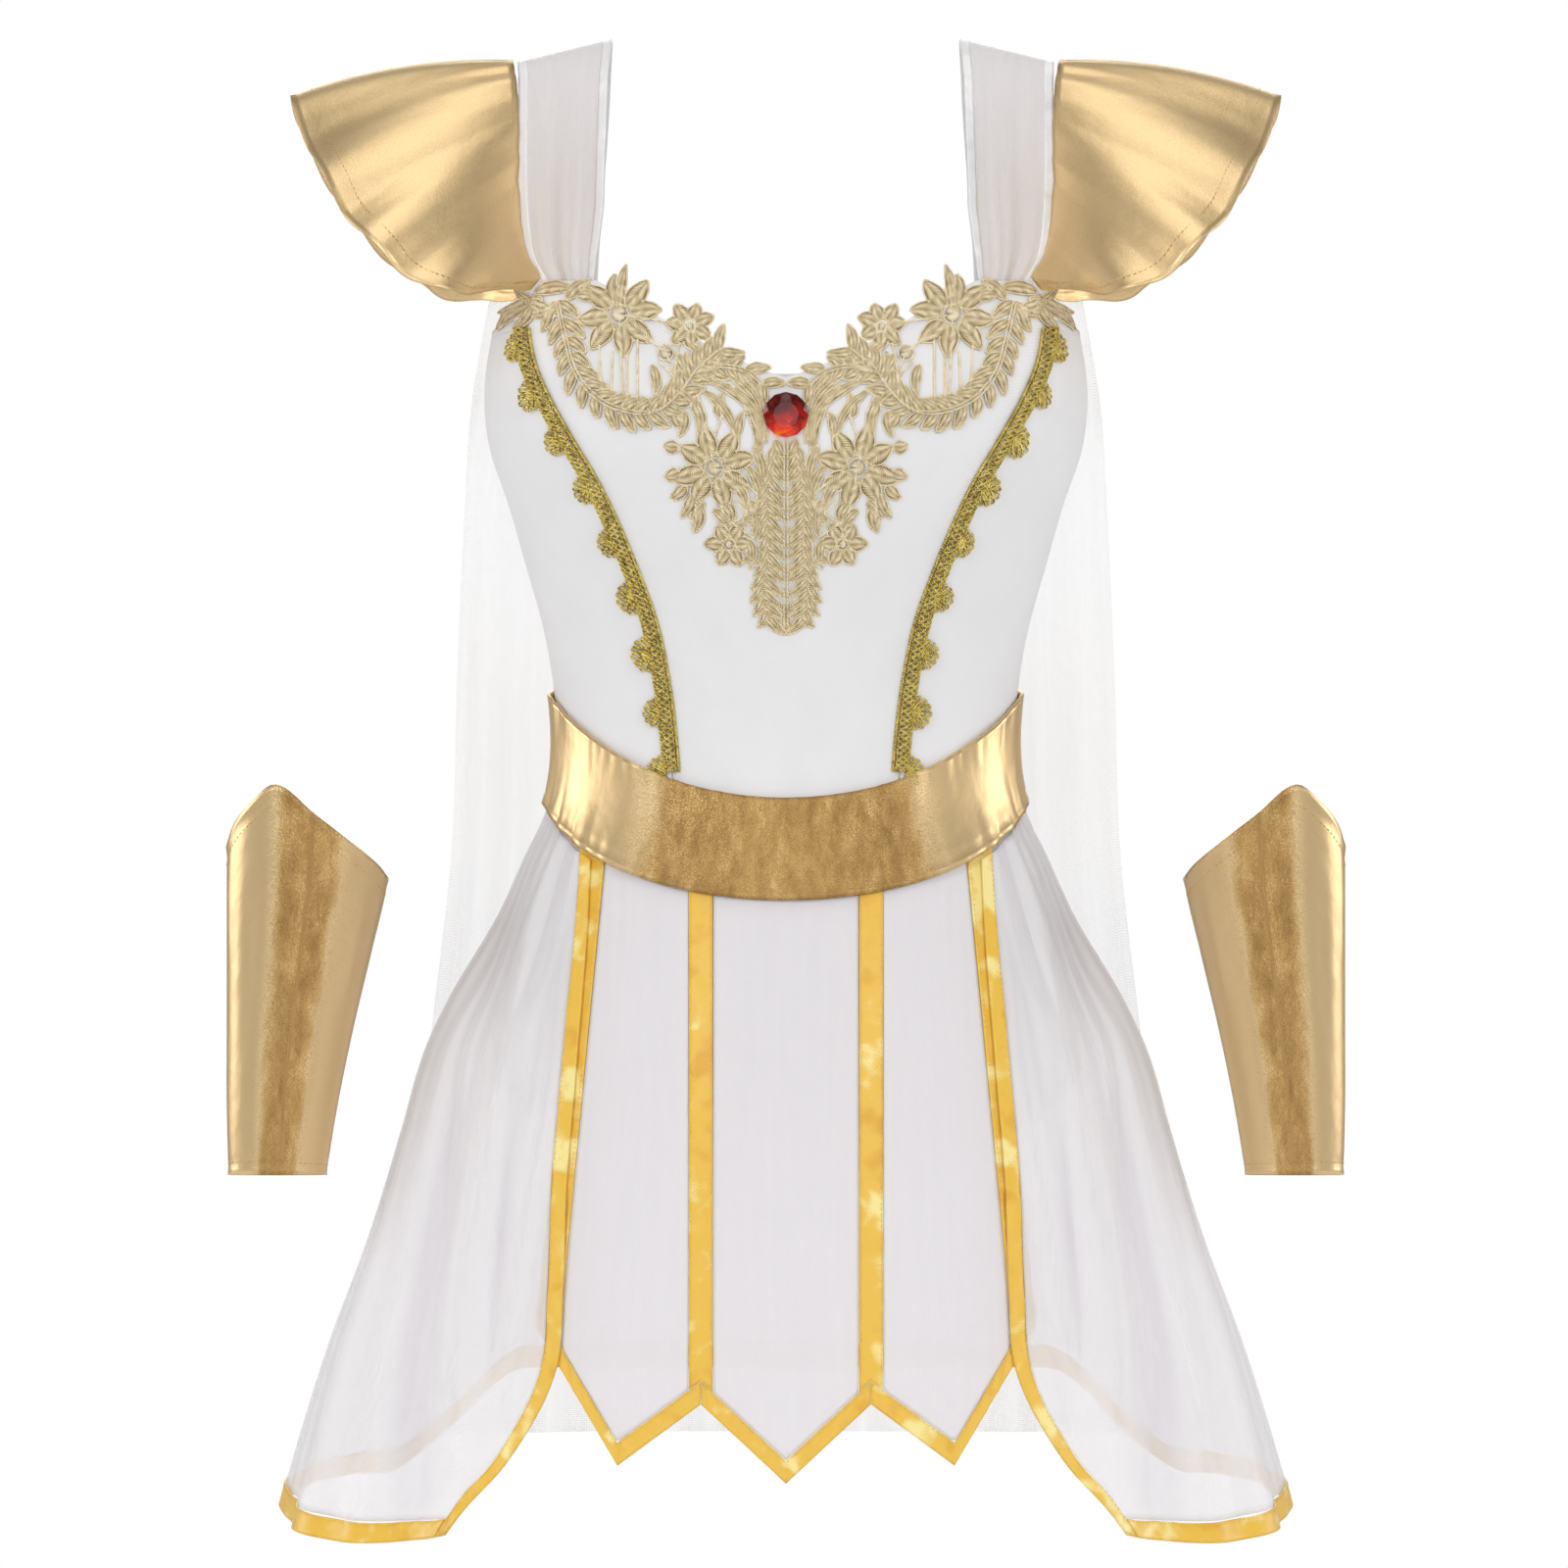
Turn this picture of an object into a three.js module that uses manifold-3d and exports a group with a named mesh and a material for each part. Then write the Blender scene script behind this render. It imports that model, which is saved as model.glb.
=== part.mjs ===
// Roman toga costume: a sleeveless dress with straps, shoulder caps, belt, gored skirt and cape,
// with its lace, gem, braids and two gauntlets. Millimetres, +Z up, the front faces -Y, and the
// origin lies midway between the tops of the shoulder straps. Left is the viewer's left, -X.
import * as THREE from "three";
import { mergeVertices } from "three/addons/utils/BufferGeometryUtils.js";
import Module from "manifold-3d";

// Driving sizes
const seamGap = 0.3;
const knitThickness = 1.2;
const sheerThickness = 1.0;
const foilThickness = 1.5;
const ribbonThickness = 1.6;
const beltThickness = 2.2;
const laceThickness = 1.6;
const braidThickness = 2.4;
const trimLift = 2.1; // how far lace, braid and belt stand off the form below them
const overlapUnderBelt = 6;
const beltDrop = 61; // how much lower the belt's top edge is in front than at the sides
const beltSideTop = -372;
const beltSideBottom = -435;
const beltBottomDrop = 57;
const beltCurve = 1.5;
const beltBackRise = 12;
const waistHeight = -425; // where the princess seams meet the belt
const seamTopAcross = 152;
const underarmHeight = -166;
const backNecklineDip = 22;
const sideGapAngle = 0.1; // half a seam gap at the side seam, in degrees
const backGapAngle = 0.15;
const sideSeamAngle = 90;
const backSeamAngle = 118;
const ribbonWidth = 13.5;
const hemRibbonHeight = 13;
const edgeRibbonWidth = 9;
const sidePanelLift = 3.2; // the side panel's front edge lies over the gore beside it
const sidePanelLiftFade = 30; // degrees over which that lift fades out
const backHem = -822;
const backHemRise = 60; // the hem rises in the middle of the back, as the front's does
const backHemRiseStart = 126; // angle from the centre front
const backHemRiseEnd = 146;
const capeHem = -800;
const gemRadius = 13;
const gemTableRadius = 7.5;
const gemDepth = 7;
const gemHeight = -214;
const gemSides = 12;
const gemSeat = -0.3; // the bodice's flat facets lie this far inside its form there

// The costume's form: half width, and depth in front and behind, at each height
const formRows = [
  { height: -100, half: 146, front: 88, back: 92 },
  { height: -137, half: 158, front: 98, back: 101 },
  { height: -165, half: 167, front: 108, back: 105 },
  { height: -200, half: 172, front: 118, back: 106 },
  { height: -232, half: 169, front: 122, back: 102 },
  { height: -265, half: 158, front: 118, back: 97 },
  { height: -300, half: 148, front: 110, back: 92 },
  { height: -336, half: 138, front: 102, back: 90 },
  { height: -372, half: 132, front: 97, back: 90 },
  { height: -410, half: 131, front: 96, back: 93 },
  { height: -440, half: 137, front: 100, back: 100 },
  { height: -489, half: 159, front: 116, back: 116 },
  { height: -527, half: 178, front: 128, back: 128 },
  { height: -574, half: 203, front: 139, back: 140 },
  { height: -624, half: 218, front: 147, back: 149 },
  { height: -687, half: 237, front: 154, back: 158 },
  { height: -749, half: 259, front: 161, back: 167 },
  { height: -825, half: 281, front: 168, back: 177 },
  { height: -870, half: 291, front: 172, back: 182 },
];

// The princess seam, which the braid covers: distance from the centre at each height
const princessRows = [
  { height: -150, across: 152 },
  { height: -183, across: 147 },
  { height: -205, across: 138 },
  { height: -228, across: 125 },
  { height: -253, across: 110 },
  { height: -278, across: 98 },
  { height: -305, across: 87 },
  { height: -332, across: 77.5 },
  { height: -363, across: 71 },
  { height: -393, across: 67 },
  { height: -430, across: 64 },
];

// The front neckline: height at each distance from the centre
const necklineRows = [
  { across: 0, height: -193 },
  { across: 15, height: -188 },
  { across: 42, height: -176 },
  { across: 69, height: -160 },
  { across: 88, height: -148 },
  { across: 108, height: -137 },
  { across: 139, height: -137 },
  { across: 146, height: -146 },
  { across: 152, height: -158 },
];

// Soft folds of the skirt: where each ridge starts and ends in degrees from the centre front,
// how far it stands out at the hem and how wide it is in degrees
const foldRows = [
  { top: 71, hem: 41, rise: 9, width: 5 },
  { top: 77, hem: 53, rise: -5, width: 6 },
  { top: 84, hem: 72, rise: 7, width: 7 },
  { top: 97, hem: 93, rise: 5, width: 7 },
  { top: 109, hem: 110, rise: 6, width: 6 },
  { top: 128, hem: 130, rise: 7, width: 6 },
  { top: 144, hem: 147, rise: 6, width: 6 },
  { top: 161, hem: 164, rise: 7, width: 6 },
];
const foldRampStart = -450;
const foldRampEnd = -800;

// The hem of the skirt's front: distance from the centre and height of the ribbon's lower edge
const goreSeamAcross = 48.4;
const centreTip = -823;
const centreNotch = -778;
const goreTipAcross = 96;
const goreTip = -813;
const goreOuterHem = -735;
const goreOuterAcrossTop = 116.4;
const goreOuterAcrossBottom = 142;
const goreOuterTopHeight = -466;

// The side panel's front edge from the belt to its lower corner
const panelEdgeRows = [
  { along: 0, across: 108.4, height: -467 },
  { along: 0.13, across: 111, height: -516 },
  { along: 0.33, across: 117.6, height: -594 },
  { along: 0.47, across: 122.4, height: -652 },
  { along: 0.61, across: 124.5, height: -710 },
  { along: 0.74, across: 129, height: -760 },
  { along: 0.88, across: 154, height: -809 },
  { along: 1, across: 188, height: -853 },
];

// The side panel's hem from that corner to the seam at the back
const panelHemRows = [
  { along: 0, angle: 42, height: -853 },
  { along: 0.15, angle: 47, height: -856 },
  { along: 0.38, angle: 62, height: -858 },
  { along: 0.6, angle: 84, height: -845 },
  { along: 0.75, angle: 97, height: -834 },
  { along: 1, angle: 118, height: -822 },
];

// A shoulder strap from the front of the bodice over the shoulder to the back
const strapRows = [
  { innerX: 108.5, innerY: -71, innerZ: -123, outerX: 147, outerY: -42, outerZ: -121 },
  { innerX: 105, innerY: -71, innerZ: -97, outerX: 151, outerY: -38, outerZ: -97 },
  { innerX: 104, innerY: -67, innerZ: -71, outerX: 152, outerY: -36, outerZ: -73 },
  { innerX: 103, innerY: -56, innerZ: -43, outerX: 152, outerY: -31, outerZ: -50 },
  { innerX: 102, innerY: -36, innerZ: -15, outerX: 152, outerY: -21, outerZ: -25 },
  { innerX: 100, innerY: -4, innerZ: 2, outerX: 153, outerY: -2, outerZ: -11 },
  { innerX: 101, innerY: 34, innerZ: -14, outerX: 153, outerY: 23, outerZ: -26 },
  { innerX: 103, innerY: 60, innerZ: -50, outerX: 153, outerY: 40, outerZ: -60 },
  { innerX: 107, innerY: 74, innerZ: -100, outerX: 152, outerY: 52, outerZ: -105 },
  { innerX: 110, innerY: 80, innerZ: -150, outerX: 149, outerY: 57, outerZ: -148 },
];
const strapFrontInner = 110;
const strapFrontOuter = 138;
const strapBackInner = 112;
const strapBackOuter = 145;

// A shoulder cap from its low front end over the shoulder to its low back end: the inner edge
// lies along the strap, and the outer edge is the flared hem
const capRows = [
  { innerX: 141, innerY: -48, innerZ: -135, outerX: 147, outerY: -53, outerZ: -141 },
  { innerX: 149, innerY: -44, innerZ: -121, outerX: 170, outerY: -84, outerZ: -143 },
  { innerX: 153, innerY: -40, innerZ: -101, outerX: 191, outerY: -106, outerZ: -145 },
  { innerX: 154, innerY: -38, innerZ: -81, outerX: 214, outerY: -111, outerZ: -136 },
  { innerX: 154, innerY: -35, innerZ: -62, outerX: 236, outerY: -104, outerZ: -118 },
  { innerX: 154, innerY: -30, innerZ: -44, outerX: 254, outerY: -86, outerZ: -96 },
  { innerX: 154.5, innerY: -20, innerZ: -25, outerX: 268, outerY: -58, outerZ: -72 },
  { innerX: 156, innerY: -9, innerZ: -14, outerX: 279, outerY: -26, outerZ: -48 },
  { innerX: 157, innerY: 2, innerZ: -10, outerX: 284, outerY: 6, outerZ: -32 },
  { innerX: 157, innerY: 14, innerZ: -16, outerX: 280, outerY: 36, outerZ: -48 },
  { innerX: 156, innerY: 26, innerZ: -27, outerX: 268, outerY: 64, outerZ: -73 },
  { innerX: 156, innerY: 36, innerZ: -44, outerX: 252, outerY: 88, outerZ: -98 },
  { innerX: 156, innerY: 43, innerZ: -63, outerX: 233, outerY: 104, outerZ: -120 },
  { innerX: 156, innerY: 49, innerZ: -85, outerX: 212, outerY: 110, outerZ: -137 },
  { innerX: 155, innerY: 55, innerZ: -106, outerX: 191, outerY: 106, outerZ: -146 },
  { innerX: 153, innerY: 60, innerZ: -124, outerX: 172, outerY: 90, outerZ: -146 },
  { innerX: 151, innerY: 63, innerZ: -140, outerX: 157, outerY: 71, outerZ: -146 },
];
const capBulge = 7;
const capFlutes = 9;
const capFluteRise = 3.2;

// The lower bodysuit: half width, depth in front and behind, and half width between the leg openings
const bodysuitRows = [
  { height: -440, half: 134, front: 97, back: 97, legs: 134 },
  { height: -489, half: 150, front: 106, back: 110, legs: 150 },
  { height: -540, half: 164, front: 110, back: 118, legs: 164 },
  { height: -590, half: 171, front: 108, back: 119, legs: 170 },
  { height: -622, half: 170, front: 98, back: 112, legs: 136 },
  { height: -648, half: 160, front: 76, back: 92, legs: 88 },
  { height: -668, half: 140, front: 42, back: 52, legs: 46 },
  { height: -674, half: 130, front: 24, back: 28, legs: 34 },
];
const bodysuitEase = 0.6;
const bodysuitBlend = 0.25; // share of its height over which it leaves the skirt's form
const bodysuitTurn = 1.567; // radians from the centre to the side seam
const gussetHeight = -675.7;
const gussetDip = 3;

// The cape: half width, depth at the centre and at the edge, at each height
const capeRows = [
  { height: -8, half: 152, middle: 96, edge: 42 },
  { height: -60, half: 157, middle: 106, edge: 72 },
  { height: -100, half: 162, middle: 109, edge: 90 },
  { height: -145, half: 171, middle: 110, edge: 102 },
  { height: -190, half: 179, middle: 105.7, edge: 96 },
  { height: -204, half: 181, middle: 106.4, edge: 93 },
  { height: -228, half: 183, middle: 110.5, edge: 88 },
  { height: -363, half: 189, middle: 122, edge: 72 },
  { height: -462, half: 192, middle: 140, edge: 70 },
  { height: -560, half: 203, middle: 164, edge: 84 },
  { height: -640, half: 212, middle: 180, edge: 104 },
  { height: -720, half: 218, middle: 192, edge: 122 },
  { height: -810, half: 224, middle: 206, edge: 140 },
];

// The cape's top edge from the centre back up to the shoulder
const capeTopRows = [
  { share: 0, height: -204 },
  { share: 0.4, height: -202 },
  { share: 0.6, height: -190 },
  { share: 0.72, height: -136 },
  { share: 0.78, height: -103 },
  { share: 0.84, height: -78 },
  { share: 0.9, height: -45 },
  { share: 0.96, height: -18 },
  { share: 1, height: -14 },
];
const capeFlutes = 5;
const capeFluteRise = 4;

// A gauntlet: its inner and outer side at each height, and its pointed top edge
const gauntletRows = [
  { height: -420, outside: 321, inside: 222 },
  { height: -478, outside: 321, inside: 228 },
  { height: -524, outside: 321, inside: 238.5 },
  { height: -564, outside: 321, inside: 248 },
  { height: -608, outside: 321, inside: 257 },
  { height: -650, outside: 320, inside: 264 },
];
const gauntletTopRows = [
  { share: -1, height: -461 },
  { share: -0.9, height: -447 },
  { share: -0.72, height: -436 },
  { share: -0.42, height: -425 },
  { share: 0.05, height: -442 },
  { share: 0.5, height: -458 },
  { share: 0.85, height: -471 },
  { share: 1, height: -479 },
];
const gauntletBottom = -649;
const gauntletBackDip = 6;
const gauntletDepthShare = 0.74;

// Lace: flowers, and the path of the leaf garland, as seen from the front on the viewer's left
const flowerRows = [
  { across: -94.5, height: -157, reach: 24, petals: 8, width: 9.5, turn: 6 },
  { across: -54.5, height: -163.5, reach: 13.5, petals: 6, width: 8, turn: 20 },
  { across: -40.5, height: -244, reach: 24, petals: 8, width: 10, turn: 14 },
  { across: -32, height: -287.5, reach: 14, petals: 6, width: 7, turn: 0 },
];
const garlandRows = [
  { along: 0, across: -126, height: -158 },
  { along: 0.2, across: -123, height: -185 },
  { along: 0.33, across: -113, height: -202 },
  { along: 0.45, across: -96, height: -209 },
  { along: 0.58, across: -77, height: -211 },
  { along: 0.73, across: -56, height: -204 },
  { along: 0.87, across: -40, height: -189 },
  { along: 1, across: -18, height: -184 },
];
const garlandLeaves = 8;
const leafLength = 14;
const leafWidth = 5.2;
const barWidth = 2.2;

// Bars that tie the flowers to the garland: start and end of each
const barRows = [
  { fromX: -94.5, fromZ: -157, toX: -92, toZ: -211 },
  { fromX: -94.5, fromZ: -157, toX: -54.5, toZ: -163.5 },
  { fromX: -54.5, fromZ: -163.5, toX: -43, toZ: -196 },
  { fromX: -68, fromZ: -179, toX: -56, toZ: -206 },
  { fromX: -51, fromZ: -200, toX: -40.5, toZ: -244 },
  { fromX: -40.5, fromZ: -244, toX: -32, toZ: -287.5 },
];
const dotAcross = -68;
const dotHeight = -179;
const dotRadius = 4.5;

// Leaves of the spray that crosses the strap's base: root, direction in degrees and length
const sprayRows = [
  { across: -126, height: -158, turn: 152, length: 30 },
  { across: -140, height: -148, turn: 205, length: 27 },
  { across: -128, height: -156, turn: 60, length: 18 },
  { across: -94.5, height: -157, turn: 82, length: 29 },
];

// Outline of the lace column under the gem: half width at each height
const columnRows = [
  { height: -229, half: 8 },
  { height: -243, half: 11 },
  { height: -258, half: 16 },
  { height: -275, half: 17 },
  { height: -295, half: 16.5 },
  { height: -312, half: 20 },
  { height: -322, half: 20.5 },
  { height: -332, half: 15 },
  { height: -340, half: 4 },
];
const columnNotches = 11;
const columnNotchDepth = 3;

// Braid: width of the band and of the fans on its outer side
const braidHalf = 5;
const braidFanReach = 9;
const braidFans = 9;
const braidTop = -166;
const braidFootHeight = -420;

const radians = Math.PI / 180;
const lerp = (a, b, share) => a + (b - a) * share;
const clamp = (value, low, high) => Math.min(high, Math.max(low, value));

// A smooth value from a table: rows run up or down in the key column
function tableValue(rows, key, column, at) {
  const rising = rows[rows.length - 1][key] > rows[0][key] ? 1 : -1;
  let index = 0;
  while (index < rows.length - 2 && (at - rows[index + 1][key]) * rising > 0) index += 1;
  const a = rows[index];
  const b = rows[index + 1];
  const span = b[key] - a[key];
  const share = clamp((at - a[key]) / span, 0, 1);
  const slope = (low, high) => (high[column] - low[column]) / (high[key] - low[key]);
  const startSlope = index > 0 ? slope(rows[index - 1], b) : slope(a, b);
  const endSlope = index < rows.length - 2 ? slope(a, rows[index + 2]) : slope(a, b);
  const square = share * share;
  const cube = square * share;
  return (
    (2 * cube - 3 * square + 1) * a[column] +
    (cube - 2 * square + share) * span * startSlope +
    (3 * square - 2 * cube) * b[column] +
    (cube - square) * span * endSlope
  );
}

// A straight-line value from a table
function tableLine(rows, key, column, at) {
  const rising = rows[rows.length - 1][key] > rows[0][key] ? 1 : -1;
  let index = 0;
  while (index < rows.length - 2 && (at - rows[index + 1][key]) * rising > 0) index += 1;
  const share = (at - rows[index][key]) / (rows[index + 1][key] - rows[index][key]);
  return lerp(rows[index][column], rows[index + 1][column], clamp(share, 0, 1));
}

const evenly = (count, from = 0, to = 1) =>
  Array.from({ length: count + 1 }, (_, index) => lerp(from, to, index / count));

// How far the skirt's folds lift its cloth at an angle in degrees from the centre front
function foldLift(angle, height) {
  const fall = clamp((foldRampStart - height) / (foldRampStart - foldRampEnd), 0, 1.1);
  let lift = 0;
  for (const fold of foldRows) {
    const away = (Math.abs(angle) - lerp(fold.top, fold.hem, fall)) / fold.width;
    lift += fold.rise * fall * Math.exp(-away * away);
  }
  return lift;
}

// A point of the costume's form at an angle in degrees from the centre front
function formPoint(angle, height) {
  const half = tableValue(formRows, "height", "half", height);
  const side = Math.cos(angle * radians) > 0 ? "front" : "back";
  const depth = tableValue(formRows, "height", side, height);
  const across = Math.sin(angle * radians);
  const along = -Math.cos(angle * radians);
  const out = new THREE.Vector3(across * depth, along * half, 0).normalize();
  const point = new THREE.Vector3(half * across, depth * along, height);
  return point.addScaledVector(out, foldLift(angle, height));
}

// The angle of a point of the front that is seen at this distance from the centre
function frontAngle(across, height) {
  const half = tableValue(formRows, "height", "half", height);
  return Math.asin(clamp(across / half, -0.998, 0.998)) / radians;
}

const frontPoint = (across, height) => formPoint(frontAngle(across, height), height);

function beltEdge(angle, sideHeight, drop) {
  const facing = Math.cos(angle * radians);
  return facing > 0 ? sideHeight - drop * facing ** beltCurve : sideHeight - beltBackRise * facing;
}

const beltTop = (angle) => beltEdge(angle, beltSideTop, beltDrop);
const beltBottom = (angle) => beltEdge(angle, beltSideBottom, beltBottomDrop);
const neckline = (across) => tableLine(necklineRows, "across", "height", Math.abs(across));
const princess = (height) => tableValue(princessRows, "height", "across", height);
const backNeckline = (angle) =>
  underarmHeight - backNecklineDip * Math.sin((angle - sideSeamAngle) * radians) ** 2;

// Outward direction of a surface, from its slopes, away from a centre
function outward(surface, s, t, centre) {
  const step = 1e-3;
  const alongS = surface(s + step, t).sub(surface(s - step, t));
  const alongT = surface(s, t + step).sub(surface(s, t - step));
  const normal = alongS.cross(alongT).normalize();
  const from = surface(s, t).sub(centre(surface(s, t)));
  return normal.dot(from) < 0 ? normal.negate() : normal;
}

const bodyAxis = (point) => new THREE.Vector3(0, 0, point.z);

function meshGeometry(points, faces) {
  const volume = faces.reduce(
    (sum, face) => sum + points[face[0]].dot(points[face[1]].clone().cross(points[face[2]])),
    0,
  );
  const ordered = volume < 0 ? faces.map((face) => [face[0], face[2], face[1]]) : faces;
  const geometry = new THREE.BufferGeometry();
  geometry.setAttribute(
    "position",
    new THREE.Float32BufferAttribute(points.flatMap((point) => point.toArray()), 3),
  );
  geometry.setIndex(ordered.flat());
  geometry.computeVertexNormals();
  return geometry;
}

// A wall of cloth over a surface: an inner and an outer skin, closed at its rims
function wall(surface, columns, rows, options) {
  const { lift = 0, thickness, centre = bodyAxis, closed = false } = options;
  const points = [];
  for (const depth of [lift, lift + thickness]) {
    for (const t of rows) {
      for (const s of columns) {
        const normal = outward(surface, s, t, centre);
        points.push(surface(s, t).addScaledVector(normal, depth));
      }
    }
  }
  const across = columns.length;
  const layer = across * rows.length;
  const at = (skin, row, column) => skin * layer + row * across + (column % across);
  const faces = [];
  const quad = (a, b, c, d) => faces.push([a, b, c], [a, c, d]);
  const lastColumn = closed ? across : across - 1;
  for (let row = 0; row < rows.length - 1; row += 1) {
    for (let column = 0; column < lastColumn; column += 1) {
      for (const skin of [0, 1]) {
        // both skins are split along the same diagonal, so that they keep their distance
        const first = at(skin, row, column);
        const beside = at(skin, row, column + 1);
        const opposite = at(skin, row + 1, column + 1);
        const below = at(skin, row + 1, column);
        quad(first, skin ? beside : below, opposite, skin ? below : beside);
      }
    }
  }
  for (let column = 0; column < lastColumn; column += 1) {
    const end = rows.length - 1;
    quad(at(0, 0, column), at(0, 0, column + 1), at(1, 0, column + 1), at(1, 0, column));
    quad(at(1, end, column), at(1, end, column + 1), at(0, end, column + 1), at(0, end, column));
  }
  if (!closed) {
    for (let row = 0; row < rows.length - 1; row += 1) {
      const end = across - 1;
      quad(at(1, row, 0), at(1, row + 1, 0), at(0, row + 1, 0), at(0, row, 0));
      quad(at(0, row, end), at(0, row + 1, end), at(1, row + 1, end), at(1, row, end));
    }
  }
  return meshGeometry(points, faces);
}

const mirrored = (surface) => (s, t) => surface(s, t).multiply(new THREE.Vector3(-1, 1, 1));

// Bodice: panels between the neckline and the belt
const bodiceRows = evenly(10);

function seamHeight(t) {
  const top = neckline(seamTopAcross) - seamGap;
  const bottom = beltTop(frontAngle(princess(waistHeight), waistHeight)) - overlapUnderBelt;
  return lerp(top, bottom, t);
}

function bodiceFront(s, t) {
  const edge = princess(seamHeight(t)) - seamGap / 2;
  const across = s * edge;
  const top = neckline(s * princess(seamHeight(0)));
  const foot = s * princess(seamHeight(1));
  const bottom = beltTop(frontAngle(foot, waistHeight)) - overlapUnderBelt;
  return frontPoint(across, lerp(top, bottom, t));
}

function bodiceSide(s, t) {
  const height = seamHeight(t);
  const start = frontAngle(princess(height) + seamGap / 2, height);
  const angle = lerp(start, sideSeamAngle - sideGapAngle, s);
  const side = lerp(underarmHeight, beltTop(sideSeamAngle) - overlapUnderBelt, t);
  return formPoint(-angle, lerp(height, side, s));
}

const backAngle = (s) =>
  lerp(sideSeamAngle + sideGapAngle, 360 - sideSeamAngle - sideGapAngle, s);

function bodiceBack(s, t) {
  const angle = backAngle(s);
  return formPoint(angle, lerp(backNeckline(angle), beltTop(angle) - overlapUnderBelt, t));
}

// Belt: a band that stands over the waist seam
function beltFront(s, t) {
  const angle = s * (sideSeamAngle - sideGapAngle);
  return formPoint(angle, lerp(beltTop(angle), beltBottom(angle), t));
}

function beltBack(s, t) {
  const angle = backAngle(s);
  return formPoint(angle, lerp(beltTop(angle), beltBottom(angle), t));
}

// Straps
const strapPath = buildStrapPath();

function buildStrapPath() {
  const row = (a, b) => (
    { innerX: a.x, innerY: a.y, innerZ: a.z, outerX: b.x, outerY: b.y, outerZ: b.z }
  );
  const front = (across) => frontPoint(across, neckline(across) + seamGap);
  const back = (across) => {
    const angle = 180 - frontAngle(across, backNeckline(backSeamAngle));
    return formPoint(angle, backNeckline(angle) + 3 * seamGap);
  };
  const rows = [
    row(front(strapFrontInner), front(strapFrontOuter)),
    ...strapRows,
    row(back(strapBackInner), back(strapBackOuter)),
  ];
  return rows.map((row, index) => ({ ...row, along: index / (rows.length - 1) }));
}

// A point between the inner and the outer edge of a table of edges, s from 0 to 1 across
function edgePoint(rows, s, along) {
  const value = (column) => tableValue(rows, "along", column, along);
  return new THREE.Vector3(
    lerp(value("innerX"), value("outerX"), s),
    lerp(value("innerY"), value("outerY"), s),
    lerp(value("innerZ"), value("outerZ"), s),
  );
}

const strap = (s, t) => edgePoint(strapPath, s, t);
const strapCentre = () => new THREE.Vector3(125, 0, -120);

// Shoulder caps
const capPath = capRows.map((row, index) => ({ ...row, along: index / (capRows.length - 1) }));
const armholeHeight = -150;
const capCentre = (point) => new THREE.Vector3(point.x, 0, armholeHeight);

function capBase(s, t) {
  return edgePoint(capPath, t, s);
}

function cap(s, t) {
  const normal = outward(capBase, clamp(s, 0.001, 0.999), clamp(t, 0.001, 0.999), capCentre);
  const ends = Math.sin(clamp(s, 0, 1) * Math.PI) ** 0.5;
  const flute = capFluteRise * Math.sin(s * capFlutes * 2 * Math.PI) * t * t;
  return capBase(s, t).addScaledVector(normal, (capBulge * 4 * t * (1 - t) + flute) * ends);
}

// Lower bodysuit
function bodysuitHalf(side) {
  return (s, t) => {
    const top = beltSideBottom + seamGap;
    const level = lerp(top, bodysuitRows[bodysuitRows.length - 1].height, t);
    const legs = tableValue(bodysuitRows, "height", "legs", level);
    const widest = tableValue(bodysuitRows, "height", "half", level);
    const turn = s * Math.min(Math.asin(Math.min(1, legs / widest)), bodysuitTurn);
    const facing = Math.cos(turn);
    const drop = side < 0 ? beltBottomDrop * facing ** beltCurve * (1 - t) ** 4 : 0;
    const height = level - drop;
    const value = (column) =>
      lerp(
        tableValue(formRows, "height", column, height) - bodysuitEase,
        tableValue(bodysuitRows, "height", column, level),
        clamp(t / bodysuitBlend, 0, 1),
      );
    const depth = value(side < 0 ? "front" : "back") * facing;
    return new THREE.Vector3(value("half") * Math.sin(turn), side * depth, height);
  };
}

function gusset(s, t) {
  const last = bodysuitRows[bodysuitRows.length - 1];
  const depth = lerp(-last.front + 0.6, last.back - 0.6, t);
  return new THREE.Vector3(s * last.legs, depth, gussetHeight - gussetDip * Math.sin(t * Math.PI));
}

// Skirt
const vLine = (across, tipAcross, tip, endAcross, end) =>
  lerp(tip, end, clamp((across - tipAcross) / (endAcross - tipAcross), 0, 1));

// Height of the ribbon's lower edge on the front gores, at a distance from the centre
function goreHem(across) {
  if (across < goreSeamAcross) return vLine(across, 0, centreTip, goreSeamAcross, centreNotch);
  if (across < goreTipAcross) {
    return vLine(across, goreTipAcross, goreTip, goreSeamAcross, centreNotch);
  }
  return vLine(across, goreTipAcross, goreTip, goreOuterAcrossBottom, goreOuterHem);
}

const skirtTop = (angle) => beltBottom(angle) + overlapUnderBelt;
const panelTop = (angle) => beltBottom(angle) - 3 * seamGap;
const frontTop = (across) => skirtTop(frontAngle(across, -480));

// The outer edge of the gore beside the centre, which slants outwards on its way down
const goreOuterAcross = (height) =>
  lerp(
    goreOuterAcrossTop,
    goreOuterAcrossBottom,
    clamp((goreOuterTopHeight - height) / (goreOuterTopHeight - goreOuterHem), 0, 1),
  );

// A strip of a front gore between two edges seen from the front, mirrored to the viewer's left
function goreStrip(innerAcross, outerAcross, bottomOf) {
  return (s, t) => {
    const reach = (height) => lerp(innerAcross(height), outerAcross(height), s);
    const bottom = bottomOf(reach(bottomOf(reach(goreOuterHem))));
    const height = lerp(frontTop(reach(goreOuterTopHeight)), bottom, t);
    return frontPoint(-reach(height), height);
  };
}

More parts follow.
